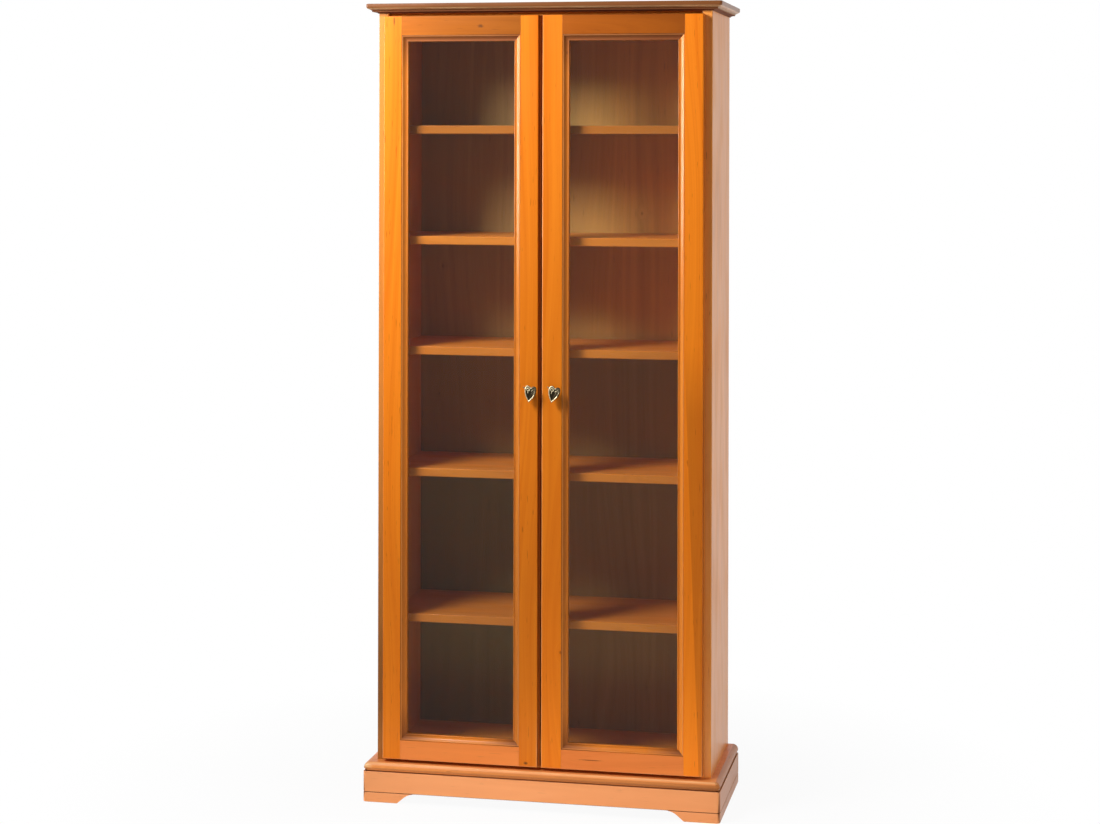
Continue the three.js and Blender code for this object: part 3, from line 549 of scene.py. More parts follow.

# %% [markdown]
# The doors' upright stiles are the brightest boards. The rails between them are a shade redder and
# the shelves darker and browner. The cornice's dark brown is painted shade on its front, which
# faces down. The bottom rails are paler and bluer and the base a paler salmon, a painted sheen of
# the white floor in front. So each kind of board has its own pale and deep colour.

# %% Twelve woods
# Each wood has its pale colour, its deep colour, and what else sets it apart.
WOODS = {
    "stile": ((1.0, 0.286, 0.015), (0.82, 0.172, 0.005), {"feature": marks_of_doors}),
    "dark_zoned": ((1.0, 0.286, 0.015), (0.82, 0.172, 0.005), {"feature": stile_flame}),
    "top_rail": ((0.56, 0.158, 0.011), (0.36, 0.090, 0.006), {"feature": marks_of_doors}),
    "red_rail": ((0.56, 0.138, 0.008), (0.34, 0.072, 0.004), {}),
    # Paler and bluer than the stiles: painted sheen of the white floor.
    "bottom_rail": ((0.96, 0.290, 0.060), (0.76, 0.195, 0.038),
                    {"fleck": 0.2, "feature": marks_of_doors}),
    "case": ((0.82, 0.300, 0.046), (0.61, 0.205, 0.029), {"level": 0.19}),
    "shelf": ((0.64, 0.205, 0.022), (0.46, 0.130, 0.014), {}),
    # Dark brown: painted shade on the cornice's downward-facing front.
    "cornice": ((0.34, 0.120, 0.034), (0.22, 0.072, 0.019), {"level": 0.14}),
    "moulding": ((0.90, 0.290, 0.026), (0.72, 0.195, 0.014), {"gloss": 0.2, "level": 0.2}),
    "bead": ((0.94, 0.330, 0.082), (0.68, 0.215, 0.052), {"level": 0.15}),
    # Pale salmon: painted sheen of the white floor.
    "base": ((1.0, 0.41, 0.16), (0.88, 0.325, 0.112),
             {"gloss": 0.34, "level": 0.16, "fleck": 0.15}),
    "back": ((0.41, 0.245, 0.078), (0.30, 0.178, 0.056), {"gloss": 0.5, "feature": veneer_sheets}),
}
woods = {name: cherry(name + "_cherry", pale, deep, **others)
         for name, (pale, deep, others) in WOODS.items()}
print("woods:", list(woods))

# %% [markdown]
# A imported solid is loose triangles. A copy of it is welded, its flat faces are made whole, and its
# sharp edges are eased by a fraction of a millimetre, as sandpaper and lacquer leave them. A
# modifier would round them too, but here the new narrow faces can be marked, and take a painted
# highlight.

# %% Eased copies
WELD = 1e-5
EASED_EDGE = 0.0005
EASED_SMALL = 0.0003
EASED_SHEET = 0.0002
FLAT_WITHIN = math.radians(0.4)
SHARP_OVER = math.radians(40)


def eased_copy(name, ease):
    work = bmesh.new()
    work.from_mesh(cad_nodes[name].data)
    bmesh.ops.remove_doubles(work, verts=work.verts, dist=WELD)
    bmesh.ops.dissolve_limit(work, angle_limit=FLAT_WITHIN, verts=work.verts, edges=work.edges)
    bmesh.ops.connect_verts_concave(work, faces=work.faces)
    eased = work.faces.layers.float.new("eased")
    sharp = [edge for edge in work.edges
             if edge.is_manifold and edge.is_convex and edge.calc_face_angle() > SHARP_OVER]
    rounded = bmesh.ops.bevel(work, geom=sharp, offset=ease, offset_type="OFFSET", affect="EDGES",
                              segments=2, profile=0.5, material=-1, clamp_overlap=True)
    for face in rounded["faces"]:
        face[eased] = 1.0
    for face in work.faces:
        face.smooth = True
    return work


print("edges of boards eased by", EASED_EDGE * 1000, "mm")

# %% [markdown]
# A long board has points only at its ends, and stain, painted shade or tone needs points to fade
# between. A few cuts across are cheaper than a finer mesh. A weighted normal keeps the flats flat,
# where plain smoothing would shade them like pillows.

# %% Cuts and normals
def cut_across(work, axis, places):
    normal = Vector([float(axis == name) for name in "xyz"])
    for place in places:
        everything = list(work.verts) + list(work.edges) + list(work.faces)
        bmesh.ops.bisect_plane(work, geom=everything, dist=1e-6, plane_co=normal * place,
                               plane_no=normal)


def keep_flats_flat(piece):
    weighted = piece.modifiers.new("flat_faces_stay_flat", "WEIGHTED_NORMAL")
    weighted.weight = 100
    weighted.keep_sharp = True


print("cuts and normals ready")

# %% [markdown]
# The figure must run along each board, and every board comes from another plank. Instead of an
# unwrapped image, each corner keeps its place in the plank, with the third number along the
# board, shifted by the board's number. A moulding round the case takes the axis of its side.

# %% Grain and numbers on a mesh
GRAIN_AXES = {"x": (1, 2, 0), "y": (2, 0, 1), "z": (0, 1, 2)}
PLANK_SHIFT = (0.37, 0.71, 1.93)


def lay_grain(mesh, along, number):
    shift = Vector([step * number for step in PLANK_SHIFT])
    grain = mesh.attributes.new("grain", "FLOAT_VECTOR", "CORNER")
    for face in mesh.polygons:
        axis = along
        if along == "round":
            axis = "y" if abs(face.normal.x) > abs(face.normal.y) + 0.01 else "x"
        order = GRAIN_AXES[axis]
        for corner in face.loop_indices:
            place = mesh.vertices[mesh.loops[corner].vertex_index].co
            grain.data[corner].vector = Vector([place[i] for i in order]) + shift


def lay_number(mesh, name, rule):
    layer = mesh.attributes.new(name, "FLOAT", "POINT")
    for number, point in enumerate(mesh.vertices):
        layer.data[number].value = rule(point.co)


def none_there(place):
    return 0.0


def on_curve(steps, at):
    for (low, first), (high, second) in zip(steps, steps[1:]):
        if low <= at <= high:
            return first + (second - first) * (at - low) / (high - low)
    return 0.0


print("grain can run along", list(GRAIN_AXES))

# %% [markdown]
# Round each pane the frame is moulded: a bead, a hollow, and a step down to the glass. Dark stain
# stays in the hollows, and painted shade lies over it: nearly black along the top, half as dark on
# the left, and hardly any elsewhere. One even film couldn't give that, so each side has its share,
# and two blend near a mitre, where the shade deepens. The door's own edges get painted shade too.

# %% Stain and painted shade of the mouldings
DOOR_FRONT = -0.166
DOOR_LOW, DOOR_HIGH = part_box("right_door_hinge_stile")
OPENING_X = (0.053, 0.358)
OPENING_Z = (0.154, 1.9205)
# Painted shade: each side's share, heaviest on the top and left, which face away from the lamp.
SIDE_SHADE_SHARES = {"left": 0.42, "right": 0.0, "bottom": 0.08, "top": 1.0}
MITRE_SHADE_SHARE = 0.95
MITRE_REACH = 0.065
# How dark stain and painted shade are, by the distance from the flat of the frame to the pane.
MOULDING_STAIN_AND_SHADE = ((-0.001, 1.0), (0.0010, 1.0), (0.0016, 0.2), (0.0034, 0.2), (0.0046, 0.55),
                  (0.0066, 0.55), (0.0128, 0.5), (0.0135, 0.4), (0.0150, 0.4), (0.0164, 0.7),
                  (0.0170, 0.7))
STAIN_AND_SHADE_STRENGTH = 1.25
FILM_OF_STAIN_AND_SHADE = 0.45
ARRIS = 0.0033
FACE_DEPTH = 0.0004
OUTSIDE = 0.002
# The door's own edges and top arris get painted shade.
DOOR_EDGE_SHADE = 0.6
CLEAN_DEPTH = {"top": 0.0001, "other": 0.0025}


def from_edges(place):
    inner, outer = OPENING_X
    return {"left": place.x - (inner if place.x > 0 else -outer),
            "right": (outer if place.x > 0 else -inner) - place.x,
            "bottom": place.z - OPENING_Z[0],
            "top": OPENING_Z[1] - place.z}


def moulding_reach(place):
    return min(from_edges(place).values())


def side_share(place):
    (side, nearest), (_, second) = sorted(from_edges(place).items(), key=lambda item: item[1])[:2]
    share = SIDE_SHADE_SHARES[side]
    if not share:
        return 0.0
    return share + (MITRE_SHADE_SHARE - share) * max(0.0, 1.0 - (second - nearest) / MITRE_REACH)


def moulding_stain(place):
    depth = place.y - DOOR_FRONT
    reach = moulding_reach(place)
    if depth < FACE_DEPTH:
        return 0.0
    if reach < -OUTSIDE:
        edge = "top" if place.z > DOOR_HIGH.z - ARRIS else "other"
        return DOOR_EDGE_SHADE if depth > CLEAN_DEPTH[edge] else 0.0
    film = STAIN_AND_SHADE_STRENGTH * on_curve(MOULDING_STAIN_AND_SHADE, reach) + FILM_OF_STAIN_AND_SHADE
    return min(1.0, film * side_share(place))


print("opening of a door:", OPENING_X, OPENING_Z)

# %% [markdown]
# A painted highlight pales a door where it stands out: on the small bead of the moulding, the
# bottom edge, and the meeting edge of the right door. Paling by sharpness alone would pale every
# edge. Moulded faces are found here too, because they get a glossier wood.

# %% Painted highlights of the doors
BEAD_REACH = (0.0014, 0.0036)
BEHIND_FACE = 0.0001
# Painted highlights on the bead, the bottom edge and the right door's meeting edge.
BEAD_HIGHLIGHT = 0.3
BOTTOM_HIGHLIGHT = 0.5
MEETING_HIGHLIGHT = 0.4
MOULDING_DEPTH = 0.0092
MOULDING_MARGIN = 0.0003


def door_rubbing(place):
    depth = place.y - DOOR_FRONT
    if BEAD_REACH[0] < moulding_reach(place) < BEAD_REACH[1] and depth < ARRIS:
        return BEAD_HIGHLIGHT
    if not BEHIND_FACE < depth < ARRIS or place.z > DOOR_HIGH.z - ARRIS:
        return 0.0
    if place.z < DOOR_LOW.z + ARRIS:
        return BOTTOM_HIGHLIGHT
    return MEETING_HIGHLIGHT if 0 < place.x < 2 * ARRIS else 0.0


def is_moulding(face):
    depth = face.center.y - DOOR_FRONT
    return FACE_DEPTH < depth < MOULDING_DEPTH and moulding_reach(face.center) > -MOULDING_MARGIN


print("a bead wears by", BEAD_HIGHLIGHT)

# %% [markdown]
# The grooves of the plinth, the lower part of the base's bead and the hollow under the cornice get
# painted shade, and the round edges above them a painted highlight. They run all round, so a curve
# over the height says where. Only the base board's left corner has it over its whole edge.

# %% Painted shade and highlights of cornice and base
BASE_FRONT = -0.182
BASE_CORNER = 0.014
BASE_CUT = cad_low.x + 1.8 * BASE_CORNER
BASE_CORNER_FOOT = 0.086
BASE_BEAD = 0.009
# Painted highlight along the top edge of the base board, by height.
BASE_HIGHLIGHT = ((0.0, 0.0), (0.0935, 0.0), (0.0955, 0.7), (0.0968, 1.0), (0.0981, 1.0))
# The grooves and the crease of the bead get painted shade.
# A groove has its lower and upper height and its depth.
BASE_GROOVES = ((0.0235, 0.0265, 0.0012), (0.0755, 0.0795, 0.0015))
BASE_CREASE = (0.0832, 0.0850)
CREASE_SHADE = 0.35
# Painted shade in the cove under the cornice, by height.
CORNICE_SHADE = ((1.976, 0.9), (1.9773, 0.85), (1.9799, 0.75), (1.9826, 0.5), (1.9836, 0.0),
                 (2.01, 0.0))
# Painted highlight on the lower edge of the cornice board, by height.
CORNICE_HIGHLIGHT = ((1.976, 0.0), (1.9799, 0.0), (1.983, 0.8), (1.985, 1.0), (1.9880, 1.0),
                   (1.9898, 0.0), (2.01, 0.0))
CORNICE_FADE = 0.25


def base_stain(place):
    for low, high, depth in BASE_GROOVES:
        inset = abs(place.x) < cad_high.x - depth and place.y > BASE_FRONT + depth
        if low < place.z < high and inset:
            return 1.0
    return CREASE_SHADE if BASE_CREASE[0] < place.z < BASE_CREASE[1] else 0.0


def base_rubbing(place):
    # The left corner gets a painted highlight over its whole edge.
    at_corner = place.x < cad_low.x + BASE_CORNER and place.y < BASE_FRONT + BASE_CORNER
    if at_corner and place.z > BASE_CORNER_FOOT:
        return 1.0
    return on_curve(BASE_HIGHLIGHT, place.z) if place.y < BASE_FRONT + BASE_BEAD else 0.0


def cornice_stain(place):
    return on_curve(CORNICE_SHADE, place.z)


def cornice_rubbing(place):
    fade = 1.0 - CORNICE_FADE * place.x / cad_high.x
    return on_curve(CORNICE_HIGHLIGHT, place.z) * min(1.0, fade)


print("grooves of the plinth:", len(BASE_GROOVES))

# %% [markdown]
# Now a board can be dressed. An eased copy is cut where stain, painted shade or tone needs points,
# gets its wood, grain and numbers, and takes over from the imported board, on the same body. Rails
# and stiles are cut near their mitres, and their moulded faces get the glossier wood.

# %% Dress a board
BLEND_END = MITRE_REACH * 1.5
STILE_CUTS = (0.32, 0.56, 0.85)
body_of_node = {node: body for body, members in frame["record"]["behaviour"]["bodies"].items()
                for node in members}
finished = []


def mitre_cuts(name, along):
    if along == "z":
        return {"z": [OPENING_Z[0] + BLEND_END, OPENING_Z[1] - BLEND_END, *STILE_CUTS]}
    sign = -1 if name.startswith("left") else 1
    inner, outer = OPENING_X
    return {"x": [sign * (inner + BLEND_END), sign * (outer - BLEND_END)]}


def take_over(piece, name):
    keep_flats_flat(piece)
    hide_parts(name)
    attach(piece, body_of_node[name])
    finished.append(name)


def finish_board(name, wood, along, slot, ease=EASED_EDGE, stain_and_shade=none_there, painted_highlight=none_there,
                 moulded=False, tone=1.0, cuts=None):
    work = eased_copy(name, ease)
    cuts = mitre_cuts(name, along) if moulded else cuts or {}
    for axis, places in cuts.items():
        cut_across(work, axis, places)
    board = to_object(work, "finished_" + name, woods[wood])
    if moulded:
        board.data.materials.append(woods["moulding"])
        for face in board.data.polygons:
            face.material_index = int(is_moulding(face))
    lay_grain(board.data, along, len(finished) + 1)
    lay_number(board.data, "stain_and_shade", stain_and_shade)
    lay_number(board.data, "painted_highlight", painted_highlight)
    lay_number(board.data, "tone", tone if callable(tone) else lambda place: tone)
    take_over(board, name)


print("ready to dress", len(cad_nodes), "nodes")

# %% [markdown]
# Down a stile the colour darkens and then pales again near the foot, and the top rails fade to the
# right: painted shade and light where the lamp falls off. An image could hold that, but a curve is
# easier to change.

# %% Painted light and shade of the doors
# Painted shade down the left stiles, painted light at the foot of the right ones.
STILE_LIGHT_AND_SHADE = {"left": ((0.0, 1.0), (0.15, 0.92), (0.32, 0.87), (0.56, 0.90), (0.85, 1.0),
                       (2.0, 1.0)),
              "right": ((0.0, 1.14), (0.32, 1.05), (0.56, 1.0), (0.85, 1.0), (2.0, 1.0))}
# Painted light falls off from left to right along the top rails.
# The place on a top rail runs from 0 to 1 over the width of the opening.
RAIL_LIGHT_FALLOFF = {"left": ((-0.1, 1.20), (0.0, 1.17), (0.35, 0.95), (1.0, 0.77), (1.1, 0.77)),
             "right": ((-1.0, 0.96), (0.0, 0.84), (1.0, 0.72), (2.0, 0.60))}
RAIL_START = {"left": -OPENING_X[1], "right": OPENING_X[0]}
OPENING_WIDTH = OPENING_X[1] - OPENING_X[0]


def stile_fades(side, tone):
    return lambda place: tone * on_curve(STILE_LIGHT_AND_SHADE[side], place.z)


def rail_fades(side):
    return lambda place: on_curve(RAIL_LIGHT_FALLOFF[side], (place.x - RAIL_START[side]) / OPENING_WIDTH)


print("a door's opening is", round(OPENING_WIDTH * 1000), "mm wide")

# %% [markdown]
# Each door is a frame of two stiles and two rails, with a glazing bead behind. All but the bead
# carry the stain, painted shade and painted highlights of the mouldings. The meeting stiles are a
# little darker than the hinge stiles, and the right hinge stile has the darker zone.

# %% Doors
MEETING_TONE = 0.88
# Stain, painted shade and painted highlights of the mouldings.
door_look = {"stain_and_shade": moulding_stain, "painted_highlight": door_rubbing, "moulded": True}

for side, hinge_wood in (("left", "stile"), ("right", "dark_zoned")):
    door = side + "_door_"
    finish_board(door + "hinge_stile", hinge_wood, "z", "stile_wood",
                 tone=stile_fades(side, 1.0), **door_look)
    finish_board(door + "meeting_stile", "stile", "z", "stile_wood",
                 tone=stile_fades(side, MEETING_TONE), **door_look)
    finish_board(door + "bottom_rail", "bottom_rail", "x", "rail_wood", **door_look)
    finish_board(door + "glazing_bead", "top_rail", "z", "rail_wood")
for side, wood in (("left", "top_rail"), ("right", "red_rail")):
    finish_board(side + "_door_top_rail", wood, "x", "rail_wood", tone=rail_fades(side),
                 **door_look)
print("door boards finished:", len(finished))

# %% [markdown]
# The narrow front edge of the left side darkens towards the foot in painted shade, the right one
# gets painted light and sheen, and the third shelf is paler on the left. A panel takes these tones
# on its front alone, so its rule asks how far forward a point lies.

# %% Painted light, shade and tones of the case
CARCASS_FRONT = -0.1425
FRONT_CORNER = 0.0025
FRONT_SKIN = 0.0001
# Painted shade on the left side's front edge, by height.
LEFT_EDGE_SHADE = ((0.0, 0.62), (0.14, 0.58), (0.25, 0.38), (0.38, 0.44), (0.50, 0.62),
                  (0.63, 0.76), (0.88, 0.90), (1.05, 1.0), (2.0, 1.0))
# Painted light and sheen on the right side's front edge.
RIGHT_EDGE_LIGHT = 1.5
RIGHT_EDGE_SHEEN = 0.2
THIRD_SHELF_TONES = {"left": 1.42, "right": 1.1}


def left_edge_fades(place):
    on_edge = place.y < CARCASS_FRONT + FRONT_CORNER
    return on_curve(LEFT_EDGE_SHADE, place.z) if on_edge else 1.0


def on_lipping(place):
    return place.y < CARCASS_FRONT + FRONT_SKIN and place.x > 0


def pale_lipping(place):
    return RIGHT_EDGE_LIGHT if on_lipping(place) else 1.0


def lipping_rubbed(place):
    return RIGHT_EDGE_SHEEN if on_lipping(place) else 0.0


def third_shelf_fades(place):
    return THIRD_SHELF_TONES["left" if place.x < 0 else "right"]


print("points along the left edge:", len(LEFT_EDGE_SHADE) - 2)

# %% [markdown]
# The cornice board gets painted light on its rounded edge, is dull on top, and a little lighter to
# the right. The base gets painted shade at its right end and painted light at its left corner.

# %% Painted light and shade of cornice and base
CORNICE_EDGE = 1.9884
# Painted light on the cornice board's lower rounded edge.
CORNICE_EDGE_LIGHT = 2.0
TOP_TONE = 0.88
MIDDLE_TONE = 0.90
TONE_RISE = 0.12
BASE_END = 0.012
# Painted shade at the base board's right end.
BASE_END_SHADE = 0.62
PLINTH_CORNER = 0.006
# Painted light at the plinth's left corner.
PLINTH_CORNER_LIGHT = 1.6


def cornice_tone(place):
    height = CORNICE_EDGE_LIGHT if place.z < CORNICE_EDGE else TOP_TONE
    return height * (MIDDLE_TONE + TONE_RISE * place.x / cad_high.x)


def base_tone(place):
    return BASE_END_SHADE if place.x > cad_high.x - BASE_END else 1.0


def plinth_tone(place):
    return PLINTH_CORNER_LIGHT if place.x < cad_low.x + PLINTH_CORNER else 1.0


print("edge of the cornice up to", CORNICE_EDGE, "m")

# %% [markdown]
# The case is two sides, a top, a floor and a thin back, with five shelves between. On it sits the
# cornice, a board over three lengths of cove, and under it the base, a board over a plinth. One
# tone for all would look cast in one piece, so they differ as they do in the photograph.

# %% Carcass, shelves, cornice and base
# The plinth's right side is darkened in painted shade and its left side lightened.
PLINTH_SIDE_LIGHT_AND_SHADE = {"left": 1.1, "right": 0.58}
# The top shelf is darkened and the lower ones lightened: painted shade and light against the lamp.
SHELF_LIGHT_AND_TONES = (1.14, 1.24, third_shelf_fades, 1.24, 0.80)
cornice_look = {"stain_and_shade": cornice_stain, "painted_highlight": cornice_rubbing}

finish_board("left_side_panel", "case", "z", "case_wood", tone=left_edge_fades,
             cuts={"z": [place for place, _ in LEFT_EDGE_SHADE[1:-1]],
                   "y": [CARCASS_FRONT + 2 * FRONT_CORNER]})
finish_board("right_side_panel", "case", "z", "case_wood", tone=pale_lipping,
             painted_highlight=lipping_rubbed)
for side, side_tone in PLINTH_SIDE_LIGHT_AND_SHADE.items():
    finish_board("plinth_side_" + side, "base", "y", "base_wood", stain_and_shade=base_stain,
                 tone=side_tone)
    finish_board("cornice_cove_" + side, "cornice", "y", "cornice_wood", **cornice_look)
finish_board("top_panel", "case", "x", "cornice_wood")
finish_board("floor_panel", "case", "x", "case_wood")
finish_board("back_panel", "back", "z", "back_wood", ease=EASED_SMALL)
finish_board("cornice_board", "cornice", "round", "cornice_wood", tone=cornice_tone, **cornice_look)
finish_board("cornice_cove_front", "cornice", "x", "cornice_wood", stain_and_shade=cornice_stain)
finish_board("base_board", "bead", "round", "base_wood", stain_and_shade=base_stain,
             painted_highlight=base_rubbing, tone=base_tone, cuts={"x": [BASE_CUT]})
finish_board("plinth_front", "base", "x", "base_wood", stain_and_shade=base_stain, tone=plinth_tone)
finish_board("plinth_back_rail", "case", "x", "case_wood")
for number, tone in enumerate(SHELF_LIGHT_AND_TONES, start=1):
    finish_board("shelf_" + str(number), "shelf", "x", "shelf_wood", tone=tone)
print("boards finished:", len(finished))

# %% [markdown]
# Window glass hardly shows, apart from a faint sheen and the dark line of its edge. As glass alone
# it would hold the lamp light back, so rays from lamps and from lit surfaces meet a clear film.

# %% Clear panes
glass = new_material("clear_glass")
ray = add_node("LightPath").outputs
passing = calculate("MAXIMUM", ray["Is Shadow Ray"], ray["Is Diffuse Ray"])
pane = add_node("BsdfPrincipled", {
    "Base Color": (0.97, 0.99, 0.98, 1), "Roughness": 0.0, "IOR": 1.2, "Transmission Weight": 1.0,
})
film = add_node("BsdfTransparent", {"Color": (0.95, 0.96, 0.95, 1)})
show(mix_shaders(passing, pane, film))
for side in ("left", "right"):
    materials = cad_nodes[side + "_door_glass"].data.materials
    materials.clear()
    materials.append(glass)
print("panes glazed")

# %% [markdown]
# The small hardware is nickel-plated steel, zinc-plated wire and brown plastic. An even metal
# would look drawn rather than made, so each has a faint mottle in its colour and roughness.

# %% Plated steel and plastic
def plated(name, colour, roughness):
    material = new_material(name)
    mottle = noise(object_place(), 260.0, 3.0)
    tint = blend_colours(mottle, colour, tuple(part * 0.82 for part in colour))
    uneven = spread(mottle, 0.3, 0.7, roughness - 0.05, roughness + 0.08)
    show_surface(tint, uneven, bumps(mottle, 0.08, 0.0002), {"Metallic": 1.0})
    return material


def moulded_plastic(name, colour):
    material = new_material(name)
    pits = noise(object_place(), 1800.0, 2.0)
    tint = blend_colours(pits, colour, tuple(part * 0.75 for part in colour))
    show_surface(tint, 0.5, bumps(pits, 0.2, 0.0001), {})
    return material


nickel = plated("nickel_plate", (0.72, 0.70, 0.66), 0.28)
zinc = plated("zinc_plate", (0.66, 0.68, 0.70), 0.34)
pole_steel = plated("pole_steel", (0.36, 0.35, 0.34), 0.38)
brown_plastic = moulded_plastic("brown_plastic", (0.20, 0.075, 0.030))
print("hardware finishes:", nickel.name, zinc.name, pole_steel.name, brown_plastic.name)

# %% [markdown]
# Cup hinges, strike plates, knob screws and shelf wires are small and mostly hidden. Their imported
# shapes are complete, so an eased copy in the right metal is enough. Thin sheet takes only a very
# small bevel, or its edges would meet.

# %% Dress the hardware
def finish_hardware(name, material, ease=EASED_SHEET):
    piece = to_object(eased_copy(name, ease), "finished_" + name, material)
    take_over(piece, name)
    return piece


for side in ("left", "right"):
    finish_hardware(side + "_door_strike_plate", nickel)
    finish_hardware(side + "_door_knob_screw", nickel)
    for number in (1, 2, 3):
        for part in ("_door_hinge_cup_", "_hinge_arm_"):
            finish_hardware(side + part + str(number), nickel)
    for number in (1, 2, 4, 5):
        finish_hardware(side + "_wire_of_shelf_" + str(number), zinc)
print("pieces finished:", len(finished))

# %% [markdown]
# A magnetic catch is a plastic case round a magnet between two steel pole plates. Only the plates
# reach the front, so instead of two more pieces the faces there get the metal.

# %% Catches
POLE_REACH = 0.0006

for side in ("left", "right"):
    catch = finish_hardware(side + "_catch", brown_plastic, EASED_SMALL)
    catch.data.materials.append(pole_steel)
    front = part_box(side + "_catch")[0].y
    poles = [face for face in catch.data.polygons if face.center.y < front + POLE_REACH]
    for face in poles:
        face.material_index = 1
    print(catch.name, "pole faces", len(poles))

# %% [markdown]
# Screws hold the hinges. A boolean could cut a slot, but leaves rough edges. Here a head starts as
# a grid of 25 squares, which is stretched into a disc and domed, and the five middle squares, a
# plus sign, are pressed in as the cross slot.

# %% Screw heads
GRID_SQUARES = 5
DOME_SHARE = 0.5
SKIRT_SHARE = 0.45
SLOT_DEPTH_SHARE = 0.6
SLOT_EDGE_SHARE = 0.05


def in_plus_sign(face, square):
    u, v, _ = face.calc_center_median()
    return (abs(u) < square or abs(v) < square) and max(abs(u), abs(v)) < 3 * square


def add_screw(work, place, facing, radius, height, turn):
    known = set(work.verts)
    bmesh.ops.create_grid(work, x_segments=GRID_SQUARES, y_segments=GRID_SQUARES, size=1.0)
    points = [vert for vert in work.verts if vert not in known]
    faces = list({face for vert in points for face in vert.link_faces})
    slot = [face for face in faces if in_plus_sign(face, 1.0 / GRID_SQUARES)]
    for vert in points:
        u, v, _ = vert.co
        disc = Vector((u * math.sqrt(1 - v * v / 2), v * math.sqrt(1 - u * u / 2), 0)) * radius
        disc.z = height * (1 - DOME_SHARE * (disc.length / radius) ** 2)
        vert.co = disc
    bmesh.ops.inset_region(work, faces=slot, thickness=radius * SLOT_EDGE_SHARE,
                           depth=-height * SLOT_DEPTH_SHARE)
    rim = [edge for edge in {edge for face in faces for edge in face.edges} if edge.is_boundary]
    skirt = bmesh.ops.extrude_edge_only(work, edges=rim)["geom"]
    foot = [part for part in skirt if isinstance(part, bmesh.types.BMVert)]
    bmesh.ops.translate(work, verts=foot, vec=(0, 0, -height * SKIRT_SHARE))
    bmesh.ops.contextual_create(work, geom=foot)
    made = [vert for vert in work.verts if vert not in known]
    stand = Vector((0, 0, 1)).rotation_difference(Vector(facing)).to_matrix().to_4x4()
    turned = Matrix.Translation(place) @ stand @ Matrix.Rotation(turn, 4, "Z")
    bmesh.ops.transform(work, verts=made, matrix=turned)


def finish_screws(work, name, body):
    bmesh.ops.recalc_face_normals(work, faces=work.faces)
    piece = to_object(work, name, nickel)
    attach(piece, body)
    print(name, "faces", len(piece.data.polygons))


print("a head starts from", GRID_SQUARES ** 2, "squares")

# %% [markdown]
# Each hinge has two screws through the flange of its cup, two through its plate on the case, and
# two on the arm that adjust it. Those on the door turn with it, so there are two pieces a side. No
# fitter leaves all slots the same way round, so each head has its own turn.

# %% Screws of the hinges
FLANGE_SCREW_SPACING = 0.046
FLANGE_SCREW = (0.0034, 0.0011)
PLATE_SCREW_SPACING = 0.032
PLATE_SCREW = (0.0040, 0.0016)
PLATE_SCREW_LEVEL = 0.0034
PLATE_MIDDLE = -0.1042
ADJUSTING_SCREWS = (-0.1120, -0.0970)
ADJUSTING_SCREW = (0.0030, 0.0010)
ADJUSTING_TURN = 900

for side, inward in (("left", 1), ("right", -1)):
    on_door, on_case = bmesh.new(), bmesh.new()
    for number in (1, 2, 3):
        cup_low, cup_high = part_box(side + "_door_hinge_cup_" + str(number))
        arm_low, arm_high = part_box(side + "_hinge_arm_" + str(number))
        middle = (cup_low + cup_high) / 2
        wall, inner = (arm_low.x, arm_high.x) if inward > 0 else (arm_high.x, arm_low.x)
        for up in (-0.5, 0.5):
            on_flange = (middle.x, cup_high.y, middle.z + up * FLANGE_SCREW_SPACING)
            on_plate = (wall + inward * PLATE_SCREW_LEVEL, PLATE_MIDDLE,
                        middle.z + up * PLATE_SCREW_SPACING)
            add_screw(on_door, on_flange, (0, 1, 0), *FLANGE_SCREW, turn=number + up)
            add_screw(on_case, on_plate, (inward, 0, 0), *PLATE_SCREW, turn=number - up)
        for along in ADJUSTING_SCREWS:
            add_screw(on_case, (inner, along, middle.z), (inward, 0, 0), *ADJUSTING_SCREW,
                      turn=along * ADJUSTING_TURN)
    finish_screws(on_door, side + "_door_hinge_screws", side + "_door")
    finish_screws(on_case, side + "_hinge_plate_screws", "carcass")

# %% [markdown]
# The back panel is held in its rebate by small pins, set in from its edges. Only their heads show,
# and only from behind, so a low cone is enough for each.

# %% Pins of the back panel
PIN_INSET = 0.007
PIN_SPACING = 0.15
PIN_RADIUS = 0.0014
PIN_TOP_RADIUS = PIN_RADIUS * 0.7
PIN_HEIGHT = 0.0005
PIN_LEVEL = PIN_HEIGHT * 0.3


def evenly(first, last):
    steps = round((last - first) / PIN_SPACING)
    return [first + (last - first) * step / steps for step in range(steps + 1)]


back_low, back_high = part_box("back_panel")
columns = evenly(back_low.x + PIN_INSET, back_high.x - PIN_INSET)
rows = evenly(back_low.z + PIN_INSET, back_high.z - PIN_INSET)
spots = [(x, z) for x in (columns[0], columns[-1]) for z in rows]
spots += [(x, z) for z in (rows[0], rows[-1]) for x in columns[1:-1]]
laid = Matrix.Rotation(math.radians(-90), 4, "X")
pins = bmesh.new()
for x, z in spots:
    pin = bmesh.ops.create_cone(pins, cap_ends=True, segments=10, radius1=PIN_RADIUS,
                                radius2=PIN_TOP_RADIUS, depth=PIN_HEIGHT)["verts"]
    placed = Matrix.Translation((x, back_high.y + PIN_LEVEL, z))
    bmesh.ops.transform(pins, verts=pin, matrix=placed @ laid)
pin_heads = to_object(pins, "back_panel_pins", zinc)
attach(pin_heads, "carcass")
print("pins:", len(spots))

# %% [markdown]
# The knobs are old brass. Handling has worn their high places bright and left dark wax in the low
# ones. Noise alone would put the wear anywhere, so every point keeps its height as an attribute
# called relief, and the noise only makes its border uneven.

# %% Old brass
WAX = (0.022, 0.016, 0.009)
BRIGHT_BRASS = (0.88, 0.74, 0.46)
PATINA_SHARE = 1.3
WEAR_RANGE = (1.26, 2.0)

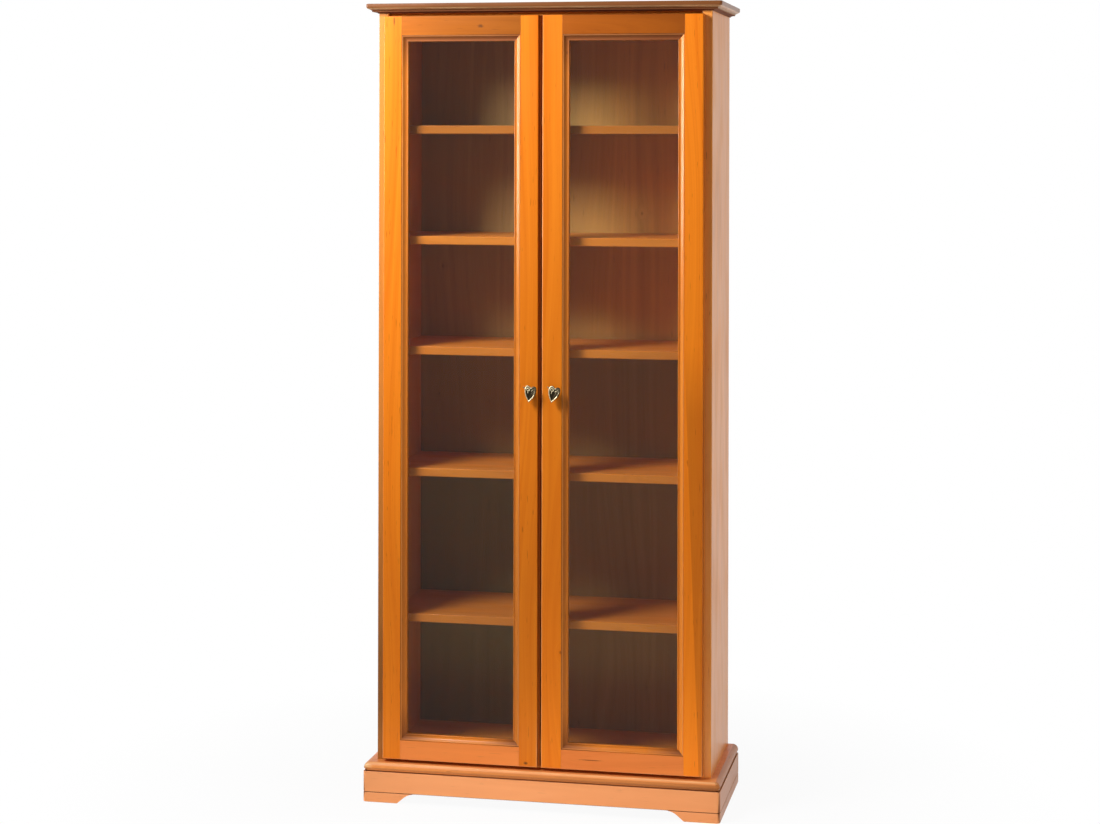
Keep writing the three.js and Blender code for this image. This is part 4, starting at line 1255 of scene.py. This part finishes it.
old_brass = new_material("old_brass")
patina = noise(object_place(), 700.0, 4.0)
relief = attribute("relief")
wear = times(patina, PATINA_SHARE, relief)
wear = spread(wear, *WEAR_RANGE)
tint = blend_colours(wear, WAX, BRIGHT_BRASS)
dull = spread(wear, 0.0, 1.0, 0.5, 0.22)
cast_skin = bumps(patina, 0.35, 0.0003)
show_surface(tint, dull, cast_skin, {"Metallic": 1.0})
print("brass ready")

# %% [markdown]
# Each knob is a heart with a raised rim and a dished middle, a little turned, as loose knobs are.
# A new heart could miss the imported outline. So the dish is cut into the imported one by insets, each
# drawn in towards the middle and sunk a little more.

# %% Heart with a rim and a dish
DISH_DEPTH = 0.0016
DISH_STEPS = ((0.945, 0.0), (0.92, 0.0011), (0.80, 0.0004), (0.55, 0.0001))
KNOB_PLACES = {"left": (-0.0225, math.radians(9)), "right": (0.037, math.radians(15))}
KNOB_FRONTS = {side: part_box(side + "_door_knob")[0][1] for side in KNOB_PLACES}
KNOB_HEIGHT = 1.035
HEART_MIDDLE = 0.002
FRONT_SLOPE = -0.99
FRONT_DEPTH = 0.0004
THIN_INSET = 0.00002


def knob_frame(side, depth):
    across, turn = KNOB_PLACES[side]
    middle = Matrix.Translation((across, KNOB_FRONTS[side] + depth, KNOB_HEIGHT))
    return middle @ Matrix.Rotation(turn, 4, "Y")


def dished_heart(side):
    work = eased_copy(side + "_door_knob", EASED_SMALL)
    front = [face for face in work.faces if face.normal.y < FRONT_SLOPE
             and face.calc_center_median().y < KNOB_FRONTS[side] + FRONT_DEPTH]
    front = bmesh.ops.dissolve_faces(work, faces=front)["region"]
    middle = knob_frame(side, 0) @ Vector((0, 0, -HEART_MIDDLE))
    for shrink, sink in DISH_STEPS:
        bmesh.ops.inset_region(work, faces=front, thickness=THIN_INSET)
        ring = list({vert for face in front for vert in face.verts})
        bmesh.ops.scale(work, verts=ring, vec=(shrink, 1, shrink),
                        space=Matrix.Translation(-middle))
        bmesh.ops.translate(work, verts=ring, vec=(0, sink, 0))
    bmesh.ops.triangulate(work, faces=front, ngon_method="BEAUTY")
    return work


print("dish", DISH_DEPTH * 1000, "mm deep")

# %% [markdown]
# In the dish lie a scroll on the left lobe and ridges down to the tip, and an ear stands out on
# each side. A scroll is a ring of points swept round and drawn in as it turns. A ridge or ear is a
# slender cone laid on its side. All are half sunk, like the lines of a casting.

# %% Scroll and ridges
SCROLL_RADIUS = 0.0042
SCROLL_WIRE = 0.0013
SCROLL_PLACE = (-0.0062, 0.0, 0.0078)
SCROLL_DEPTH = DISH_DEPTH * 0.95
SCROLL_SWEEP = math.radians(400)
SCROLL_STEPS = 26
DRAWN_IN = (-0.00006, 0, 0.00002)
# A line has its start and end (x, z), its thick and thin radius, and its depth.
LINES = (((0.0050, 0.0010), (0.0006, -0.0190), 0.0014, 0.0007, DISH_DEPTH),
         ((0.0095, 0.0000), (0.0030, -0.0150), 0.0012, 0.0006, DISH_DEPTH),
         ((-0.0060, 0.0020), (-0.0030, -0.0110), 0.0012, 0.0005, DISH_DEPTH),
         ((0.0020, 0.0040), (0.0095, 0.0110), 0.0012, 0.0006, DISH_DEPTH),
         ((-0.0115, 0.0080), (-0.0200, 0.0116), 0.0023, 0.0007, 0.0026),
         ((0.0085, 0.0080), (0.0142, 0.0128), 0.0021, 0.0005, 0.0026))


def add_scroll(work, side):
    known = set(work.verts)
    ring = bmesh.ops.create_circle(work, segments=8, radius=SCROLL_WIRE)["verts"]
    bmesh.ops.translate(work, verts=ring, vec=(SCROLL_RADIUS, 0, 0))
    sides = list({edge for vert in ring for edge in vert.link_edges})
    bmesh.ops.spin(work, geom=ring + sides, cent=(0, 0, 0), axis=(0, 1, 0),
                   dvec=DRAWN_IN, angle=SCROLL_SWEEP, steps=SCROLL_STEPS)
    coil = [vert for vert in work.verts if vert not in known]
    placed = knob_frame(side, SCROLL_DEPTH) @ Matrix.Translation(SCROLL_PLACE)
    bmesh.ops.transform(work, verts=coil, matrix=placed)
    bmesh.ops.holes_fill(work, edges=work.edges, sides=8)


def add_line(work, side, start, end, thick, thin, depth):
    first, last = Vector((start[0], 0, start[1])), Vector((end[0], 0, end[1]))
    cone = bmesh.ops.create_cone(work, cap_ends=True, segments=10, radius1=thick, radius2=thin,
                                 depth=(last - first).length)["verts"]
    turn = Vector((0, 0, 1)).rotation_difference((last - first).normalized()).to_matrix().to_4x4()
    placed = knob_frame(side, depth) @ Matrix.Translation((first + last) / 2)
    bmesh.ops.transform(work, verts=cone, matrix=placed @ turn)


print("ridges and ears:", len(LINES))

# %% [markdown]
# A curve turns each point's depth behind the knob's front into relief. The ears and the flat right
# lobe get values of their own, because the ears are bright and the lobe is evenly worn.

# %% Cast both knobs
RELIEF = ((-0.001, 1.0), (0.0006, 1.0), (0.0011, 0.2), (DISH_DEPTH, 0.0), (0.0035, 0.1),
          (0.03, 0.1))
EAR_REACH = 0.0165
EAR_WEAR = 0.8
LOBE_LEFT = 0.002
LOBE_FOOT = -0.004
LOBE_WEAR = 0.62
SHELTERED = 0.55


def knob_relief(side):
    to_knob = knob_frame(side, 0).inverted()

    def relief_at(place):
        aside = to_knob @ place
        if abs(aside.x) > EAR_REACH:
            return EAR_WEAR
        height = on_curve(RELIEF, aside.y)
        if aside.x > LOBE_LEFT and aside.z > LOBE_FOOT:
            return max(height * SHELTERED, LOBE_WEAR if aside.y < 2 * DISH_DEPTH else 0.0)
        return height

    return relief_at


def cast_knob(side):
    work = dished_heart(side)
    add_scroll(work, side)
    for line in LINES:
        add_line(work, side, *line)
    bmesh.ops.recalc_face_normals(work, faces=work.faces)
    for face in work.faces:
        face.smooth = True
    knob = to_object(work, "cast_" + side + "_knob", old_brass)
    lay_number(knob.data, "relief", knob_relief(side))
    take_over(knob, side + "_door_knob")
    print(knob.name, "has", len(knob.data.polygons), "faces")


cast_knob("left")
cast_knob("right")
